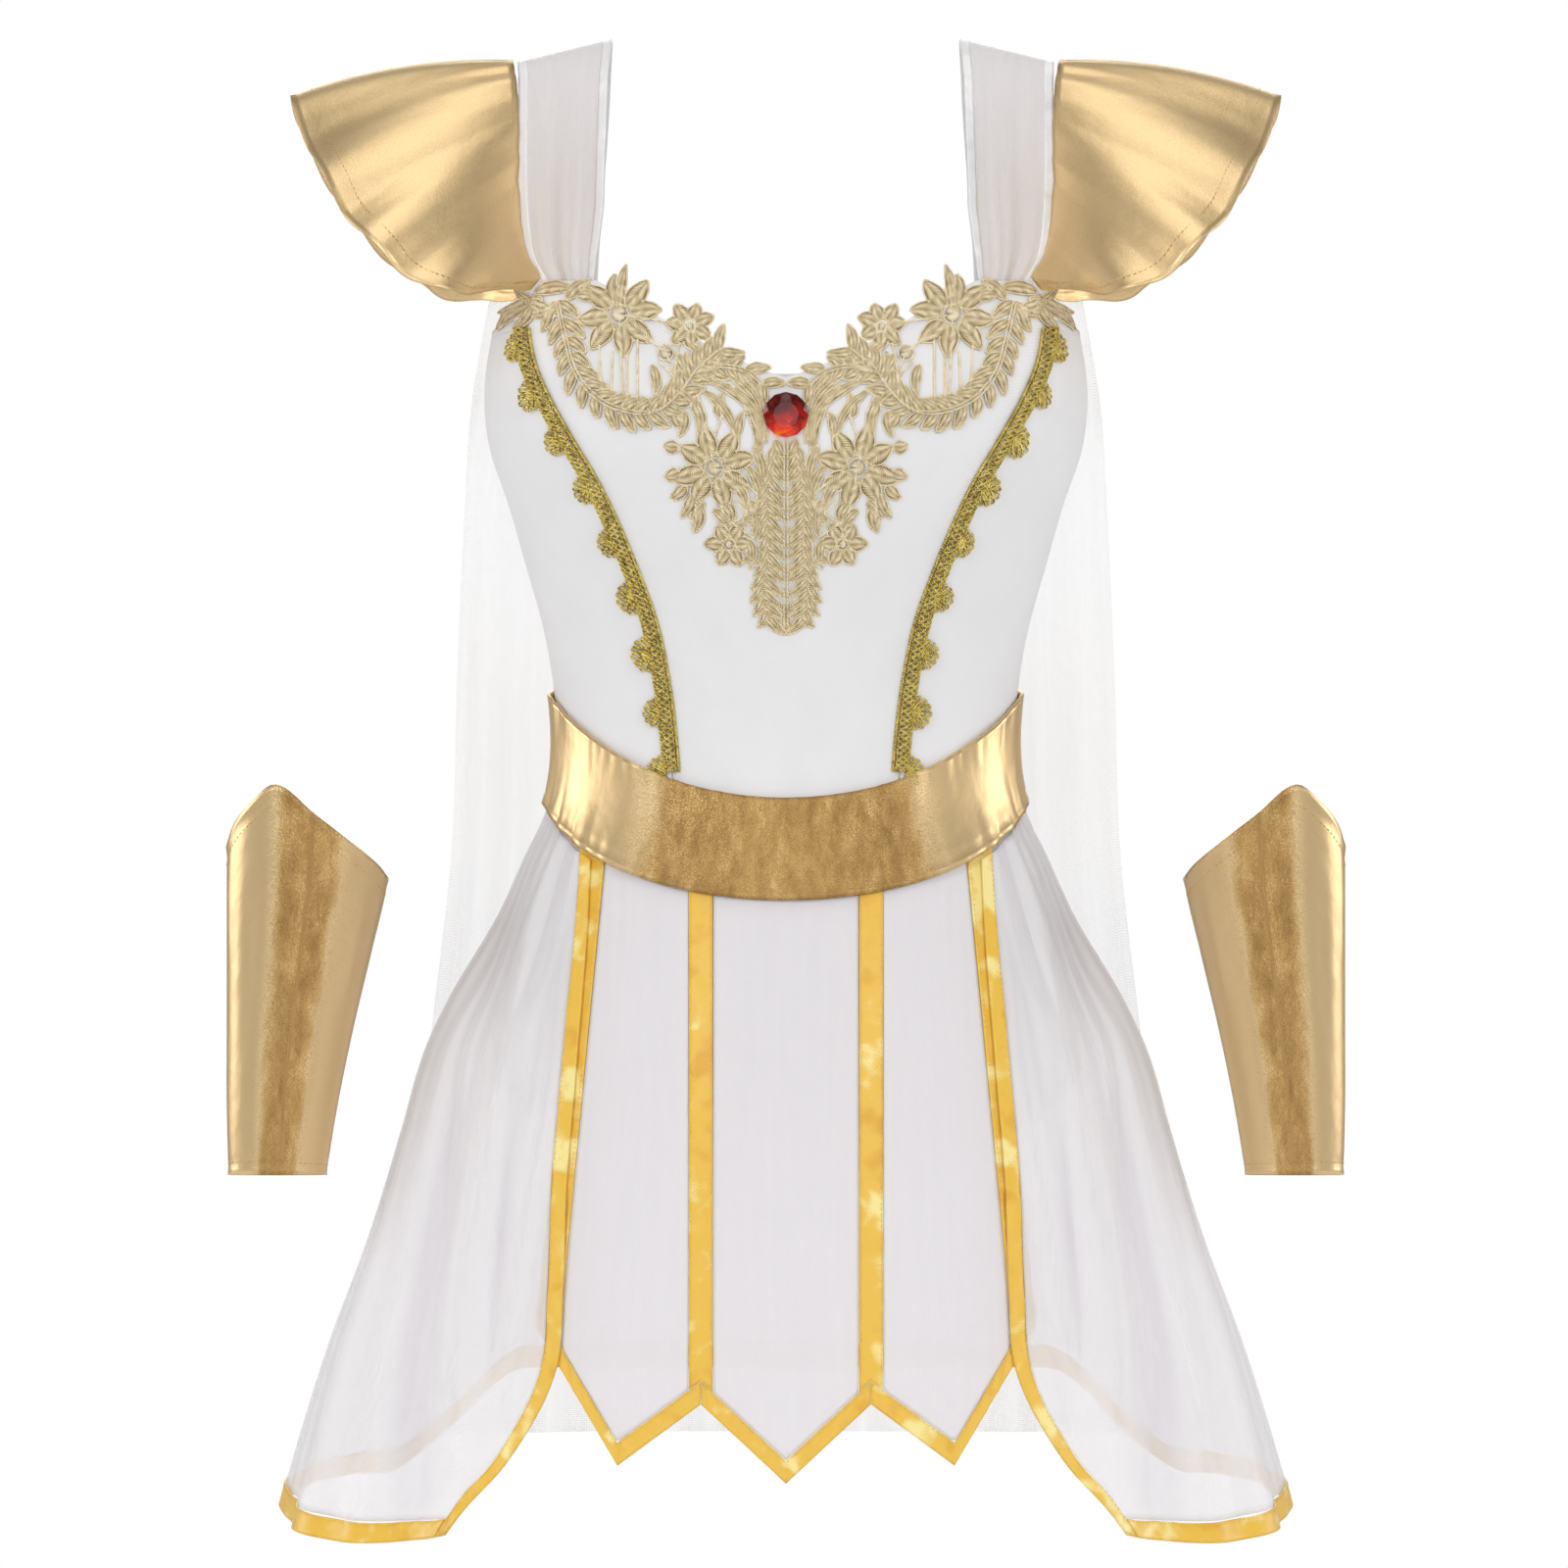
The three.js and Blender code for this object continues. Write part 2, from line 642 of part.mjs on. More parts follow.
const ribbonInner = () => goreSeamAcross - ribbonWidth / 2;
const ribbonOuter = () => goreSeamAcross + ribbonWidth / 2;
const edgeInner = (height) => goreOuterAcross(height) - ribbonWidth;
const above = (gap) => (across) => goreHem(across) + gap;

function centreGore(s, t) {
  const reach = ribbonInner() - seamGap;
  const across = s * reach;
  const bottom = goreHem(Math.abs(across)) + hemRibbonHeight + seamGap;
  return frontPoint(across, lerp(frontTop(across), bottom, t));
}

function centreHem(s, t) {
  const across = s * (goreSeamAcross - seamGap / 2);
  const bottom = goreHem(Math.abs(across));
  return frontPoint(across, lerp(bottom + hemRibbonHeight, bottom, t));
}

const sideGore = goreStrip(
  () => ribbonOuter() + seamGap,
  (height) => edgeInner(height) - seamGap,
  above(hemRibbonHeight + seamGap),
);
const seamRibbon = goreStrip(ribbonInner, ribbonOuter, above(hemRibbonHeight + seamGap));
const goreEdgeRibbon = goreStrip(edgeInner, goreOuterAcross, above(hemRibbonHeight + seamGap));

// Columns of a gore's cloth, one of them through the tip of its hem
function goreColumns(inner, outer) {
  const tip = (goreTipAcross - inner) / (outer - inner);
  return [...evenly(3, 0, tip), ...evenly(2, tip, 1).slice(1)];
}

function goreHemRibbon(s, t) {
  const across = lerp(goreSeamAcross + seamGap / 2, goreOuterAcrossBottom, s);
  const bottom = goreHem(across);
  return frontPoint(-across, lerp(bottom + hemRibbonHeight, bottom, t));
}

// The side panel as a patch between its front edge, its hem, the back seam and the belt
function panelPatch(s, t) {
  const edgeAt = (along) => {
    const height = tableValue(panelEdgeRows, "along", "height", along);
    const across = tableValue(panelEdgeRows, "along", "across", along);
    return { angle: frontAngle(across, height), height };
  };
  const edge = edgeAt(t);
  const corner = edgeAt(1);
  const start = edgeAt(0);
  const seam = { angle: backSeamAngle, height: lerp(panelTop(backSeamAngle), backHem, t) };
  const topAngle = lerp(start.angle, backSeamAngle, s);
  const hem = {
    angle: tableValue(panelHemRows, "along", "angle", s),
    height: tableValue(panelHemRows, "along", "height", s),
  };
  const hemStart = panelHemRows[0];
  const coons = (left, right, top, bottom, topLeft, topRight, bottomLeft, bottomRight) =>
    lerp(left, right, s) +
    lerp(top, bottom, t) -
    lerp(lerp(topLeft, topRight, s), lerp(bottomLeft, bottomRight, s), t);
  const angle = coons(
    edge.angle,
    seam.angle,
    topAngle,
    hem.angle + (corner.angle - hemStart.angle) * (1 - s),
    start.angle,
    backSeamAngle,
    corner.angle,
    backSeamAngle,
  );
  const height = coons(
    edge.height,
    seam.height,
    panelTop(topAngle),
    hem.height,
    start.height,
    panelTop(backSeamAngle),
    corner.height,
    backHem,
  );
  return { angle, height };
}

function panelPoint(s, t) {
  const { angle, height } = panelPatch(s, t);
  const front = panelPatch(0, t).angle;
  const fade = clamp(1 - (angle - front) / sidePanelLiftFade, 0, 1);
  const point = formPoint(-angle, height);
  const out = new THREE.Vector3(point.x, point.y, 0).normalize();
  return point.addScaledVector(out, sidePanelLift * fade * fade * (3 - 2 * fade));
}

// The share of the patch that a ribbon of a given width takes at its front edge and at its hem
function edgeShare(t, width) {
  return width / panelPoint(0, t).distanceTo(panelPoint(0.1, t)) / 10;
}

function hemShare(s, height) {
  return height / panelPoint(s, 1).distanceTo(panelPoint(s, 0.9)) / 10;
}

const backSeamTrim = 0.0015;

function sidePanel(s, t) {
  const bottom = 1 - hemShare(s, hemRibbonHeight + 3 * seamGap);
  const row = t * bottom;
  return panelPoint(lerp(edgeShare(row, edgeRibbonWidth + 2 * seamGap), 1 - backSeamTrim, s), row);
}

const panelEdgeRibbon = (s, t) => panelPoint(s * edgeShare(t, edgeRibbonWidth), t);

function panelHemRibbon(s, t) {
  const start = edgeShare(1, edgeRibbonWidth + seamGap);
  const along = lerp(start, 1 - backSeamTrim, s);
  return panelPoint(along, lerp(1 - hemShare(along, hemRibbonHeight), 1, t));
}

// Angle across the back of the skirt, from -180 to 180 degrees
function skirtBackAngle(s) {
  const angle = lerp(backSeamAngle + backGapAngle, 360 - backSeamAngle - backGapAngle, s);
  return angle > 180 ? angle - 360 : angle;
}

// Height of the hem across the back
function backHemAt(angle) {
  const range = backHemRiseEnd - backHemRiseStart;
  const share = clamp((Math.abs(angle) - backHemRiseStart) / range, 0, 1);
  return backHem + backHemRise * share * share * (3 - 2 * share);
}

function backSkirt(s, t) {
  const angle = skirtBackAngle(s);
  const bottom = backHemAt(angle) + hemRibbonHeight + seamGap;
  return formPoint(angle, lerp(skirtTop(angle), bottom, t));
}

function backHemRibbon(s, t) {
  const angle = skirtBackAngle(s);
  const bottom = backHemAt(angle);
  return formPoint(angle, lerp(bottom + hemRibbonHeight, bottom, t));
}

// Cape
function cape(s, t) {
  const share = Math.abs(s);
  const top = tableValue(capeTopRows, "share", "height", share);
  const height = lerp(top, capeHem, t);
  const value = (column) => tableValue(capeRows, "height", column, height);
  const wave = capeFluteRise * t * (1 - Math.cos(s * capeFlutes * 2 * Math.PI)) * 0.5;
  const depth = lerp(value("middle"), value("edge"), s * s) + wave;
  return new THREE.Vector3(s * value("half"), depth, height);
}

const capeCentre = (point) => new THREE.Vector3(point.x * 0.5, -200, point.z);

// Gauntlets
function gauntlet(s, t) {
  const angle = s * 2 * Math.PI;
  const share = -Math.sin(angle);
  const back = Math.cos(angle) < 0 ? -gauntletBackDip * Math.cos(angle) ** 2 : 0;
  const top = tableValue(gauntletTopRows, "share", "height", share) + back;
  const height = lerp(top, gauntletBottom, t);
  const outside = tableValue(gauntletRows, "height", "outside", height);
  const inside = tableValue(gauntletRows, "height", "inside", height);
  const half = (outside - inside) / 2;
  const middle = -(outside + inside) / 2;
  const depth = -Math.cos(angle) * half * gauntletDepthShare;
  return new THREE.Vector3(middle + share * half, depth, height);
}

const gauntletCentre = (point) => {
  const outside = tableValue(gauntletRows, "height", "outside", point.z);
  const inside = tableValue(gauntletRows, "height", "inside", point.z);
  return new THREE.Vector3((-(outside + inside) / 2) * Math.sign(-point.x), 0, point.z);
};

// Flat lace and braid shapes, joined in the plane and then laid over the form
const wasm = await Module();
wasm.setup();

function solidFrom(geometry) {
  const bare = geometry.clone();
  bare.deleteAttribute("normal");
  bare.deleteAttribute("uv");
  const merged = mergeVertices(bare, 1e-4);
  return new wasm.Manifold(
    new wasm.Mesh({
      numProp: 3,
      vertProperties: new Float32Array(merged.attributes.position.array),
      triVerts: new Uint32Array(merged.index.array),
    }),
  );
}

function flatSolid(outline) {
  const shape = new THREE.Shape(outline);
  return solidFrom(new THREE.ExtrudeGeometry(shape, { depth: 1, bevelEnabled: false }));
}

const placed = (points, across, height, turn) =>
  points.map(([x, y]) => {
    const cos = Math.cos(turn * radians);
    const sin = Math.sin(turn * radians);
    return new THREE.Vector2(across + x * cos - y * sin, height + x * sin + y * cos);
  });

function leafShape(across, height, turn, length, width, root = 0) {
  const half = width / 2;
  const points = [
    [root, -half * 0.4],
    [lerp(root, length, 0.6), -half],
    [length, 0],
    [lerp(root, length, 0.6), half],
    [root, half * 0.4],
  ];
  return flatSolid(placed(points, across, height, turn));
}

function barShape(fromX, fromZ, toX, toZ, width) {
  const length = Math.hypot(toX - fromX, toZ - fromZ);
  const turn = Math.atan2(toZ - fromZ, toX - fromX) / radians;
  const half = width / 2;
  const steps = Math.ceil(length / 20);
  const low = evenly(steps, 0, length).map((x) => [x, -half]);
  const high = evenly(steps, length, 0).map((x) => [x, half]);
  return flatSolid(placed([...low, ...high], fromX, fromZ, turn));
}

function discShape(across, height, radius, sides) {
  const points = evenly(sides, 0, 360).slice(0, sides);
  const ring = points.map((turn) => [radius * Math.cos(turn * radians), radius * Math.sin(turn * radians)]);
  return flatSolid(placed(ring, across, height, 0));
}

function flowerShapes({ across, height, reach, petals, width, turn }) {
  const leaves = evenly(petals, turn, turn + 360).slice(0, petals);
  const core = reach * 0.32;
  const shapes = leaves.map((angle) => leafShape(across, height, angle, reach, width, core - 1));
  shapes.push(discShape(across, height, core, petals));
  return shapes;
}

function garlandShapes() {
  const at = (along) => [
    tableValue(garlandRows, "along", "across", along),
    tableValue(garlandRows, "along", "height", along),
  ];
  const shapes = [];
  const stops = evenly(garlandLeaves, 0, 1);
  for (let index = 0; index < garlandLeaves; index += 1) {
    const [x, z] = at(stops[index]);
    const [nextX, nextZ] = at(stops[index + 1]);
    const turn = Math.atan2(nextZ - z, nextX - x) / radians;
    shapes.push(barShape(x, z, nextX, nextZ, 3));
    shapes.push(leafShape(nextX, nextZ, turn + 142, leafLength, leafWidth));
    shapes.push(leafShape(nextX, nextZ, turn - 142, leafLength, leafWidth));
  }
  return shapes;
}

const joined = (shapes) => shapes.reduce((whole, shape) => whole.add(shape)).asOriginal();

function lacePlane() {
  const shapes = [
    ...flowerRows.flatMap(flowerShapes),
    ...garlandShapes(),
    ...barRows.map((bar) => barShape(bar.fromX, bar.fromZ, bar.toX, bar.toZ, barWidth)),
    ...sprayRows.map((leaf) => leafShape(leaf.across, leaf.height, leaf.turn, leaf.length, 7)),
    discShape(dotAcross, dotHeight, dotRadius, 6),
    barShape(-126, -158, -140, -148, 4),
  ];
  return joined(shapes);
}

// The lace column under the gem, with a notch between each pair of its leaves
function laceColumn(s, t) {
  const height = lerp(columnRows[0].height, columnRows[columnRows.length - 1].height, t);
  const notch = columnNotchDepth * Math.sin(t * columnNotches * Math.PI) ** 2 * Math.sin(t * Math.PI);
  return frontPoint(s * (tableValue(columnRows, "height", "half", height) - notch), height);
}

// Lays a flat solid over the front of the form: its own thickness of 1 becomes the real one
function overForm(flat, lift, thickness, side) {
  const mesh = flat.getMesh();
  const points = [];
  for (let index = 0; index < mesh.vertProperties.length; index += mesh.numProp) {
    const [x, z, depth] = mesh.vertProperties.slice(index, index + 3);
    const normal = outward(frontPoint, x, z, bodyAxis);
    const point = frontPoint(x, z).addScaledVector(normal, lift + depth * thickness);
    points.push(point.multiply(new THREE.Vector3(side, 1, 1)));
  }
  const faces = [];
  for (let index = 0; index < mesh.triVerts.length; index += 3) {
    faces.push([...mesh.triVerts.slice(index, index + 3)]);
  }
  return meshGeometry(points, faces);
}

// Braid: a band along the princess seam with a row of fans on its outer side
function braid(s, t) {
  const foot = frontAngle(princess(braidFootHeight), braidFootHeight);
  const height = lerp(braidTop, beltTop(foot) + braidHalf, t);
  const fan = Math.abs(Math.sin(t * braidFans * Math.PI)) ** 0.6;
  const outer = braidHalf + braidFanReach * fan;
  const across = princess(height) + lerp(-braidHalf, outer, s);
  return frontPoint(-across, height);
}

const braidSteps = evenly(braidFans * 3);

// Gem: a round cut stone with a flat back
function gemGeometry() {
  const profile = [
    [0, 0],
    [gemRadius * 0.9, 0],
    [gemRadius, gemDepth * 0.35],
    [gemTableRadius, gemDepth],
    [0, gemDepth],
  ].map(([radius, depth]) => new THREE.Vector2(radius, depth));
  const lathe = new THREE.LatheGeometry(profile, gemSides);
  lathe.deleteAttribute("normal");
  lathe.deleteAttribute("uv");
  const stone = mergeVertices(lathe, 1e-3);
  stone.rotateX(Math.PI);
  const lowest = gemHeight - gemRadius;
  const reach = tableValue(formRows, "height", "front", lowest) + knitThickness + gemSeat;
  stone.translate(0, -reach, gemHeight);
  return stone;
}

// Materials
const material = (color, roughness, metalness) =>
  new THREE.MeshStandardMaterial({ color, roughness, metalness, side: THREE.DoubleSide });
const whiteKnit = () => material("#eeeeef", 0.8, 0);
const sheerCloth = () => material("#f2f0f3", 0.6, 0);
const goldLame = () => material("#d9b56a", 0.3, 0.9);
const yellowSatin = () => material("#f0c545", 0.35, 0.1);
const laceThread = () => material("#d9bc85", 0.6, 0.1);
const goldBraid = () => material("#b9951f", 0.4, 0.6);
const redGem = () => material("#c01c10", 0.05, 0);

const costume = new THREE.Group();

function addPiece(name, geometry, finish) {
  const piece = new THREE.Mesh(geometry, finish());
  piece.name = name;
  costume.add(piece);
}

// Adds a piece for the viewer's left and its mirror image for the right
function addPair(name, surface, columns, rows, options, finish) {
  const centre = options.centre ?? bodyAxis;
  const mirror = new THREE.Vector3(-1, 1, 1);
  const otherCentre = (point) => centre(point.clone().multiply(mirror)).multiply(mirror);
  addPiece(`${name}_left`, wall(surface, columns, rows, { ...options, centre }), finish);
  const other = wall(mirrored(surface), columns, rows, { ...options, centre: otherCentre });
  addPiece(`${name}_right`, other, finish);
}

const knit = { thickness: knitThickness };
const sheer = { thickness: sheerThickness };
const ribbon = { thickness: ribbonThickness };
const belt = { thickness: beltThickness, lift: trimLift + 0.2 };
const skirtRows = evenly(7);

addPiece("bodice_front", wall(bodiceFront, evenly(12, -1, 1), bodiceRows, knit), whiteKnit);
addPair("bodice_side", bodiceSide, evenly(4), bodiceRows, knit, whiteKnit);
addPiece("bodice_back", wall(bodiceBack, evenly(14), evenly(5), knit), whiteKnit);
addPiece("belt_front", wall(beltFront, evenly(20, -1, 1), [0, 1], belt), goldLame);
addPiece("belt_back", wall(beltBack, evenly(20), [0, 1], belt), goldLame);

const bodysuitSteps = [0, 0.3, 0.6, 0.78, 0.89, 1];
const bodysuitInset = 0.9;
const bodysuitWall = { thickness: knitThickness, lift: -knitThickness - bodysuitInset };
addPiece("bodysuit_front", wall(bodysuitHalf(-1), evenly(12, -1, 1), bodysuitSteps, bodysuitWall), whiteKnit);
addPiece("bodysuit_back", wall(bodysuitHalf(1), evenly(12, -1, 1), bodysuitSteps, bodysuitWall), whiteKnit);
const gussetWall = { ...bodysuitWall, centre: () => new THREE.Vector3(0, 0, -600) };
addPiece("gusset", wall(gusset, evenly(3, -1, 1), evenly(4), gussetWall), whiteKnit);

const leftStrap = (s, t) => strap(s, t).multiply(new THREE.Vector3(-1, 1, 1));
const leftOf = (centre) => (point) => centre(point).multiply(new THREE.Vector3(-1, 1, 1));
addPair("strap", leftStrap, evenly(2), evenly(14), { ...sheer, centre: leftOf(strapCentre) }, sheerCloth);
const leftCap = (s, t) => cap(s, t).multiply(new THREE.Vector3(-1, 1, 1));
const capWall = { thickness: foilThickness, centre: capCentre };
addPair("cap", leftCap, evenly(36), evenly(3), capWall, goldLame);

addPiece("centre_gore", wall(centreGore, evenly(4, -1, 1), skirtRows, sheer), sheerCloth);
addPair("side_gore", sideGore, goreColumns(ribbonOuter(), edgeInner(goreTip)), skirtRows, sheer, sheerCloth);
addPair("side_panel", sidePanel, evenly(14), skirtRows, sheer, sheerCloth);
addPiece("back_skirt", wall(backSkirt, evenly(24), skirtRows, sheer), sheerCloth);
addPair("seam_ribbon", seamRibbon, [0, 0.5, 1], skirtRows, ribbon, yellowSatin);
addPair("gore_edge_ribbon", goreEdgeRibbon, [0, 1], skirtRows, ribbon, yellowSatin);
const panelEdgeFoot = 1 - hemShare(0.05, hemRibbonHeight + seamGap);
const panelEdgeSteps = [...skirtRows.map((t) => t * panelEdgeFoot), 1];
addPair("panel_edge_ribbon", panelEdgeRibbon, [0, 1], panelEdgeSteps, ribbon, yellowSatin);
addPair("panel_hem_ribbon", panelHemRibbon, evenly(14), [0, 1], ribbon, yellowSatin);
addPiece("centre_hem_ribbon", wall(centreHem, evenly(4, -1, 1), [0, 1], ribbon), yellowSatin);
const goreHemColumns = goreColumns(goreSeamAcross, goreOuterAcrossBottom);
addPair("gore_hem_ribbon", goreHemRibbon, goreHemColumns, [0, 1], ribbon, yellowSatin);
addPiece("back_hem_ribbon", wall(backHemRibbon, evenly(24), [0, 1], ribbon), yellowSatin);

const capeWall = { thickness: sheerThickness, centre: capeCentre };
addPiece("cape", wall(cape, evenly(20, -1, 1), evenly(6), capeWall), sheerCloth);
const gauntletWall = { thickness: foilThickness, centre: gauntletCentre, lift: -foilThickness };
const round = evenly(16).slice(0, 16);
addPair("gauntlet", gauntlet, round, evenly(4), { ...gauntletWall, closed: true }, goldLame);

const lace = lacePlane();
addPiece("lace_left", overForm(lace, trimLift, laceThickness, 1), laceThread);
addPiece("lace_right", overForm(lace, trimLift, laceThickness, -1), laceThread);
const laceWall = { lift: trimLift, thickness: laceThickness };
addPiece("lace_centre", wall(laceColumn, [-1, 0, 1], evenly(columnNotches * 2), laceWall), laceThread);
addPair("braid", braid, [0, 0.4, 1], braidSteps, { thickness: braidThickness, lift: trimLift }, goldBraid);
addPiece("gem", gemGeometry(), redGem);

export default costume;
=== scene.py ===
import bmesh
import bpy
import numpy as np
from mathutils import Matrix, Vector


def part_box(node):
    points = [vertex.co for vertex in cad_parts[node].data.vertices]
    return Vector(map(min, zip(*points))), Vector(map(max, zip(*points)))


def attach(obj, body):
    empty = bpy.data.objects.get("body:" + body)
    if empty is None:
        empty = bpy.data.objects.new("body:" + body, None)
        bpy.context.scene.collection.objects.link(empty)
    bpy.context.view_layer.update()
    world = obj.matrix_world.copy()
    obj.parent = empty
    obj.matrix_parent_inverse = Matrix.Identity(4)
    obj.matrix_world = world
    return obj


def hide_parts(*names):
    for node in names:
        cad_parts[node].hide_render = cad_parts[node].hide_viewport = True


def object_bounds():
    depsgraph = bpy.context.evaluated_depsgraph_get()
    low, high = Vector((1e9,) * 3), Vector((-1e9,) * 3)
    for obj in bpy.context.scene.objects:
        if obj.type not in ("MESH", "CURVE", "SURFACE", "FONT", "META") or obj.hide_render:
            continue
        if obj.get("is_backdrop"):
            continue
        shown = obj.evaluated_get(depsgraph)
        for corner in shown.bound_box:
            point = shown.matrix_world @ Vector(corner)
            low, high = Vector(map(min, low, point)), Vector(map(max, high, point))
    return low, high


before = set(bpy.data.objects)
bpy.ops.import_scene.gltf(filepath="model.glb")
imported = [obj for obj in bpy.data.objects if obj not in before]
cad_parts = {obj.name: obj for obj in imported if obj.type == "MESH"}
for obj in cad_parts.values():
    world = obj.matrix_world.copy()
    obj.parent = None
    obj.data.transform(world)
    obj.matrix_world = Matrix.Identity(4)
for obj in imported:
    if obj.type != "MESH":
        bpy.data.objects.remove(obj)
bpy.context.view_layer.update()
print("stage: frame loaded")

metre = 0.001
seamGap = 0.3

# The form that the cloth hangs on: height, half width, depth in front, depth behind
formRows = [
    (-100, 146, 88, 92), (-137, 158, 98, 101), (-165, 167, 108, 105), (-200, 172, 118, 106),
    (-232, 169, 122, 102), (-265, 158, 118, 97), (-300, 148, 110, 92), (-336, 138, 102, 90),
    (-372, 132, 97, 90), (-410, 131, 96, 93), (-440, 137, 100, 100), (-489, 159, 116, 116),
    (-527, 178, 128, 128), (-574, 203, 139, 140), (-624, 218, 147, 149), (-687, 237, 154, 158),
    (-749, 259, 161, 167), (-825, 281, 168, 177), (-870, 291, 172, 182),
]
# Princess seam: height, distance from the centre
princessRows = [
    (-150, 152), (-183, 147), (-205, 138), (-228, 125), (-253, 110), (-278, 98), (-305, 87),
    (-332, 77.5), (-363, 71), (-393, 67), (-430, 64),
]
# Front neckline: distance from the centre, height
necklineRows = [
    (0, -193), (15, -188), (42, -176), (69, -160), (88, -148), (108, -137), (139, -137),
    (146, -146), (152, -158),
]
# Folds of the skirt: angle from the centre front at the belt and at the hem, rise, width in
# degrees, and how much of the rise there is at the belt and at the hem
foldRows = [
    (71, 41, 9, 5, 0, 1), (77, 53, -5, 6, 0, 1), (84, 72, 7, 7, 0, 1), (97, 93, 5, 7, 0, 1),
    (109, 110, 6, 6, 0, 1), (128, 130, 7, 6, 0, 1), (144, 147, 6, 6, 0, 1), (161, 164, 7, 6, 0, 1),
    (53, 33, 1.6, 1.9, 0.9, 0.2), (58, 36.5, -1.3, 1.8, 1.0, 0.5), (63, 45, 1.5, 1.6, 1.0, 0.4),
    (66.5, 49, -1.2, 1.7, 0.8, 0.7), (75, 60, 1.4, 1.8, 0.7, 0.9), (80, 66, -1.3, 2.4, 0.6, 1.0),
    (88, 79, -1.6, 2.6, 0.6, 1.0), (93, 84, 1.2, 2.0, 0.9, 0.6), (103, 101, -1.7, 3.0, 0.5, 1.0),
    (114, 116, -1.3, 2.4, 0.8, 0.8), (122, 123, -1.5, 3.0, 0.4, 1.0), (135, 138, -1.6, 3.2, 0.5, 1.0),
    (140, 141, 1.1, 1.8, 0.9, 0.4), (152, 155, -1.5, 3.1, 0.6, 1.0), (157, 158, 1.0, 1.7, 1.0, 0.3),
    (170, 172, -1.4, 3.0, 0.6, 1.0), (176, 178, 1.0, 2.6, 0.8, 0.7),
]
folds = {"rampStart": -450, "rampEnd": -800, "backShift": 2.4, "flare": 1.1}

belt = {"sideTop": -372, "dropTop": 61, "sideBottom": -435, "dropBottom": 57, "curve": 1.5, "backRise": 12,
        "tuck": 6}
waistHeight = -425
seamTopAcross = 152
underarmHeight = -166
backNecklineDip = 22
sideSeam = 90
backSeam = 118


def smooth(rows, column, at):
    # a smooth curve through the rows of a table, whose first column is what it runs along
    table = np.array(rows, float)
    if table[-1, 0] < table[0, 0]:
        table = table[::-1]
    keys, values = table[:, 0], table[:, column]
    slopes = np.empty(len(keys))
    slopes[1:-1] = (values[2:] - values[:-2]) / (keys[2:] - keys[:-2])
    slopes[0] = (values[1] - values[0]) / (keys[1] - keys[0])
    slopes[-1] = (values[-1] - values[-2]) / (keys[-1] - keys[-2])
    at = np.asarray(at, float)
    index = np.clip(np.searchsorted(keys, at, side="right") - 1, 0, len(keys) - 2)
    span = keys[index + 1] - keys[index]
    share = np.clip((at - keys[index]) / span, 0, 1)
    square, cube = share ** 2, share ** 3
    return ((2 * cube - 3 * square + 1) * values[index]
            + (cube - 2 * square + share) * span * slopes[index]
            + (3 * square - 2 * cube) * values[index + 1]
            + (cube - square) * span * slopes[index + 1])


def straight(rows, column, at):
    table = np.array(sorted(rows), float)
    return np.interp(at, table[:, 0], table[:, column])


def lerp(a, b, share):
    return a + (b - a) * share


def ramp(value, start, end):
    # 0 at start and 1 at end, soft at both
    share = np.clip((value - start) / (end - start), 0, 1)
    return share * share * (3 - 2 * share)


def unit(vectors):
    return vectors / np.maximum(np.linalg.norm(vectors, axis=-1, keepdims=True), 1e-9)


def foldLift(angle, height):
    fall = np.clip((folds["rampStart"] - height) / (folds["rampStart"] - folds["rampEnd"]), 0, folds["flare"])
    side = np.abs(angle)
    side = side + np.where(angle > 0, folds["backShift"] * ramp(side, 112, 128) * ramp(180 - side, 0, 12), 0)
    below = ramp(-np.asarray(height, float), 432, 470)
    lift = 0
    for top, hem, rise, width, atBelt, atHem in foldRows:
        away = (side - lerp(top, hem, fall)) / width
        lift = lift + rise * lerp(atBelt, atHem, fall) * np.exp(-away ** 2) * below
    return lift


def formPoint(angle, height):
    # a point of the form at an angle in degrees from the centre front
    angle, height = np.broadcast_arrays(np.asarray(angle, float), np.asarray(height, float))
    across, facing = np.sin(np.radians(angle)), np.cos(np.radians(angle))
    half = smooth(formRows, 1, height)
    depth = np.where(facing > 0, smooth(formRows, 2, height), smooth(formRows, 3, height))
    out = unit(np.stack([across * depth, -facing * half], -1))
    lift = foldLift(angle, height)
    return np.stack([half * across + out[..., 0] * lift, -depth * facing + out[..., 1] * lift, height], -1)


def frontAngle(across, height):
    return np.degrees(np.arcsin(np.clip(across / smooth(formRows, 1, height), -0.998, 0.998)))


def frontPoint(across, height):
    return formPoint(frontAngle(across, height), height)


def beltEdge(angle, side, drop):
    facing = np.cos(np.radians(angle))
    return np.where(facing > 0, side - drop * np.abs(facing) ** belt["curve"], side - belt["backRise"] * facing)


def beltTop(angle):
    return beltEdge(angle, belt["sideTop"], belt["dropTop"])


def beltBottom(angle):
    return beltEdge(angle, belt["sideBottom"], belt["dropBottom"])


def neckline(across):
    return straight(necklineRows, 1, np.abs(across))


def princess(height):
    return smooth(princessRows, 1, height)


def backNeckline(angle):
    return underarmHeight - backNecklineDip * np.sin(np.radians(angle - sideSeam)) ** 2


# Making a wall of cloth over a surface that is given by s across and t down
def bodyAxis(points):
    return points * [0, 0, 1]


def outward(surface, s, t, centre):
    step = 1e-3
    normal = unit(np.cross(surface(s + step, t) - surface(s - step, t),
                           surface(s, t + step) - surface(s, t - step)))
    points = surface(s, t)
    away = np.sum(normal * (points - centre(points)), -1, keepdims=True)
    return np.where(away < 0, -normal, normal)


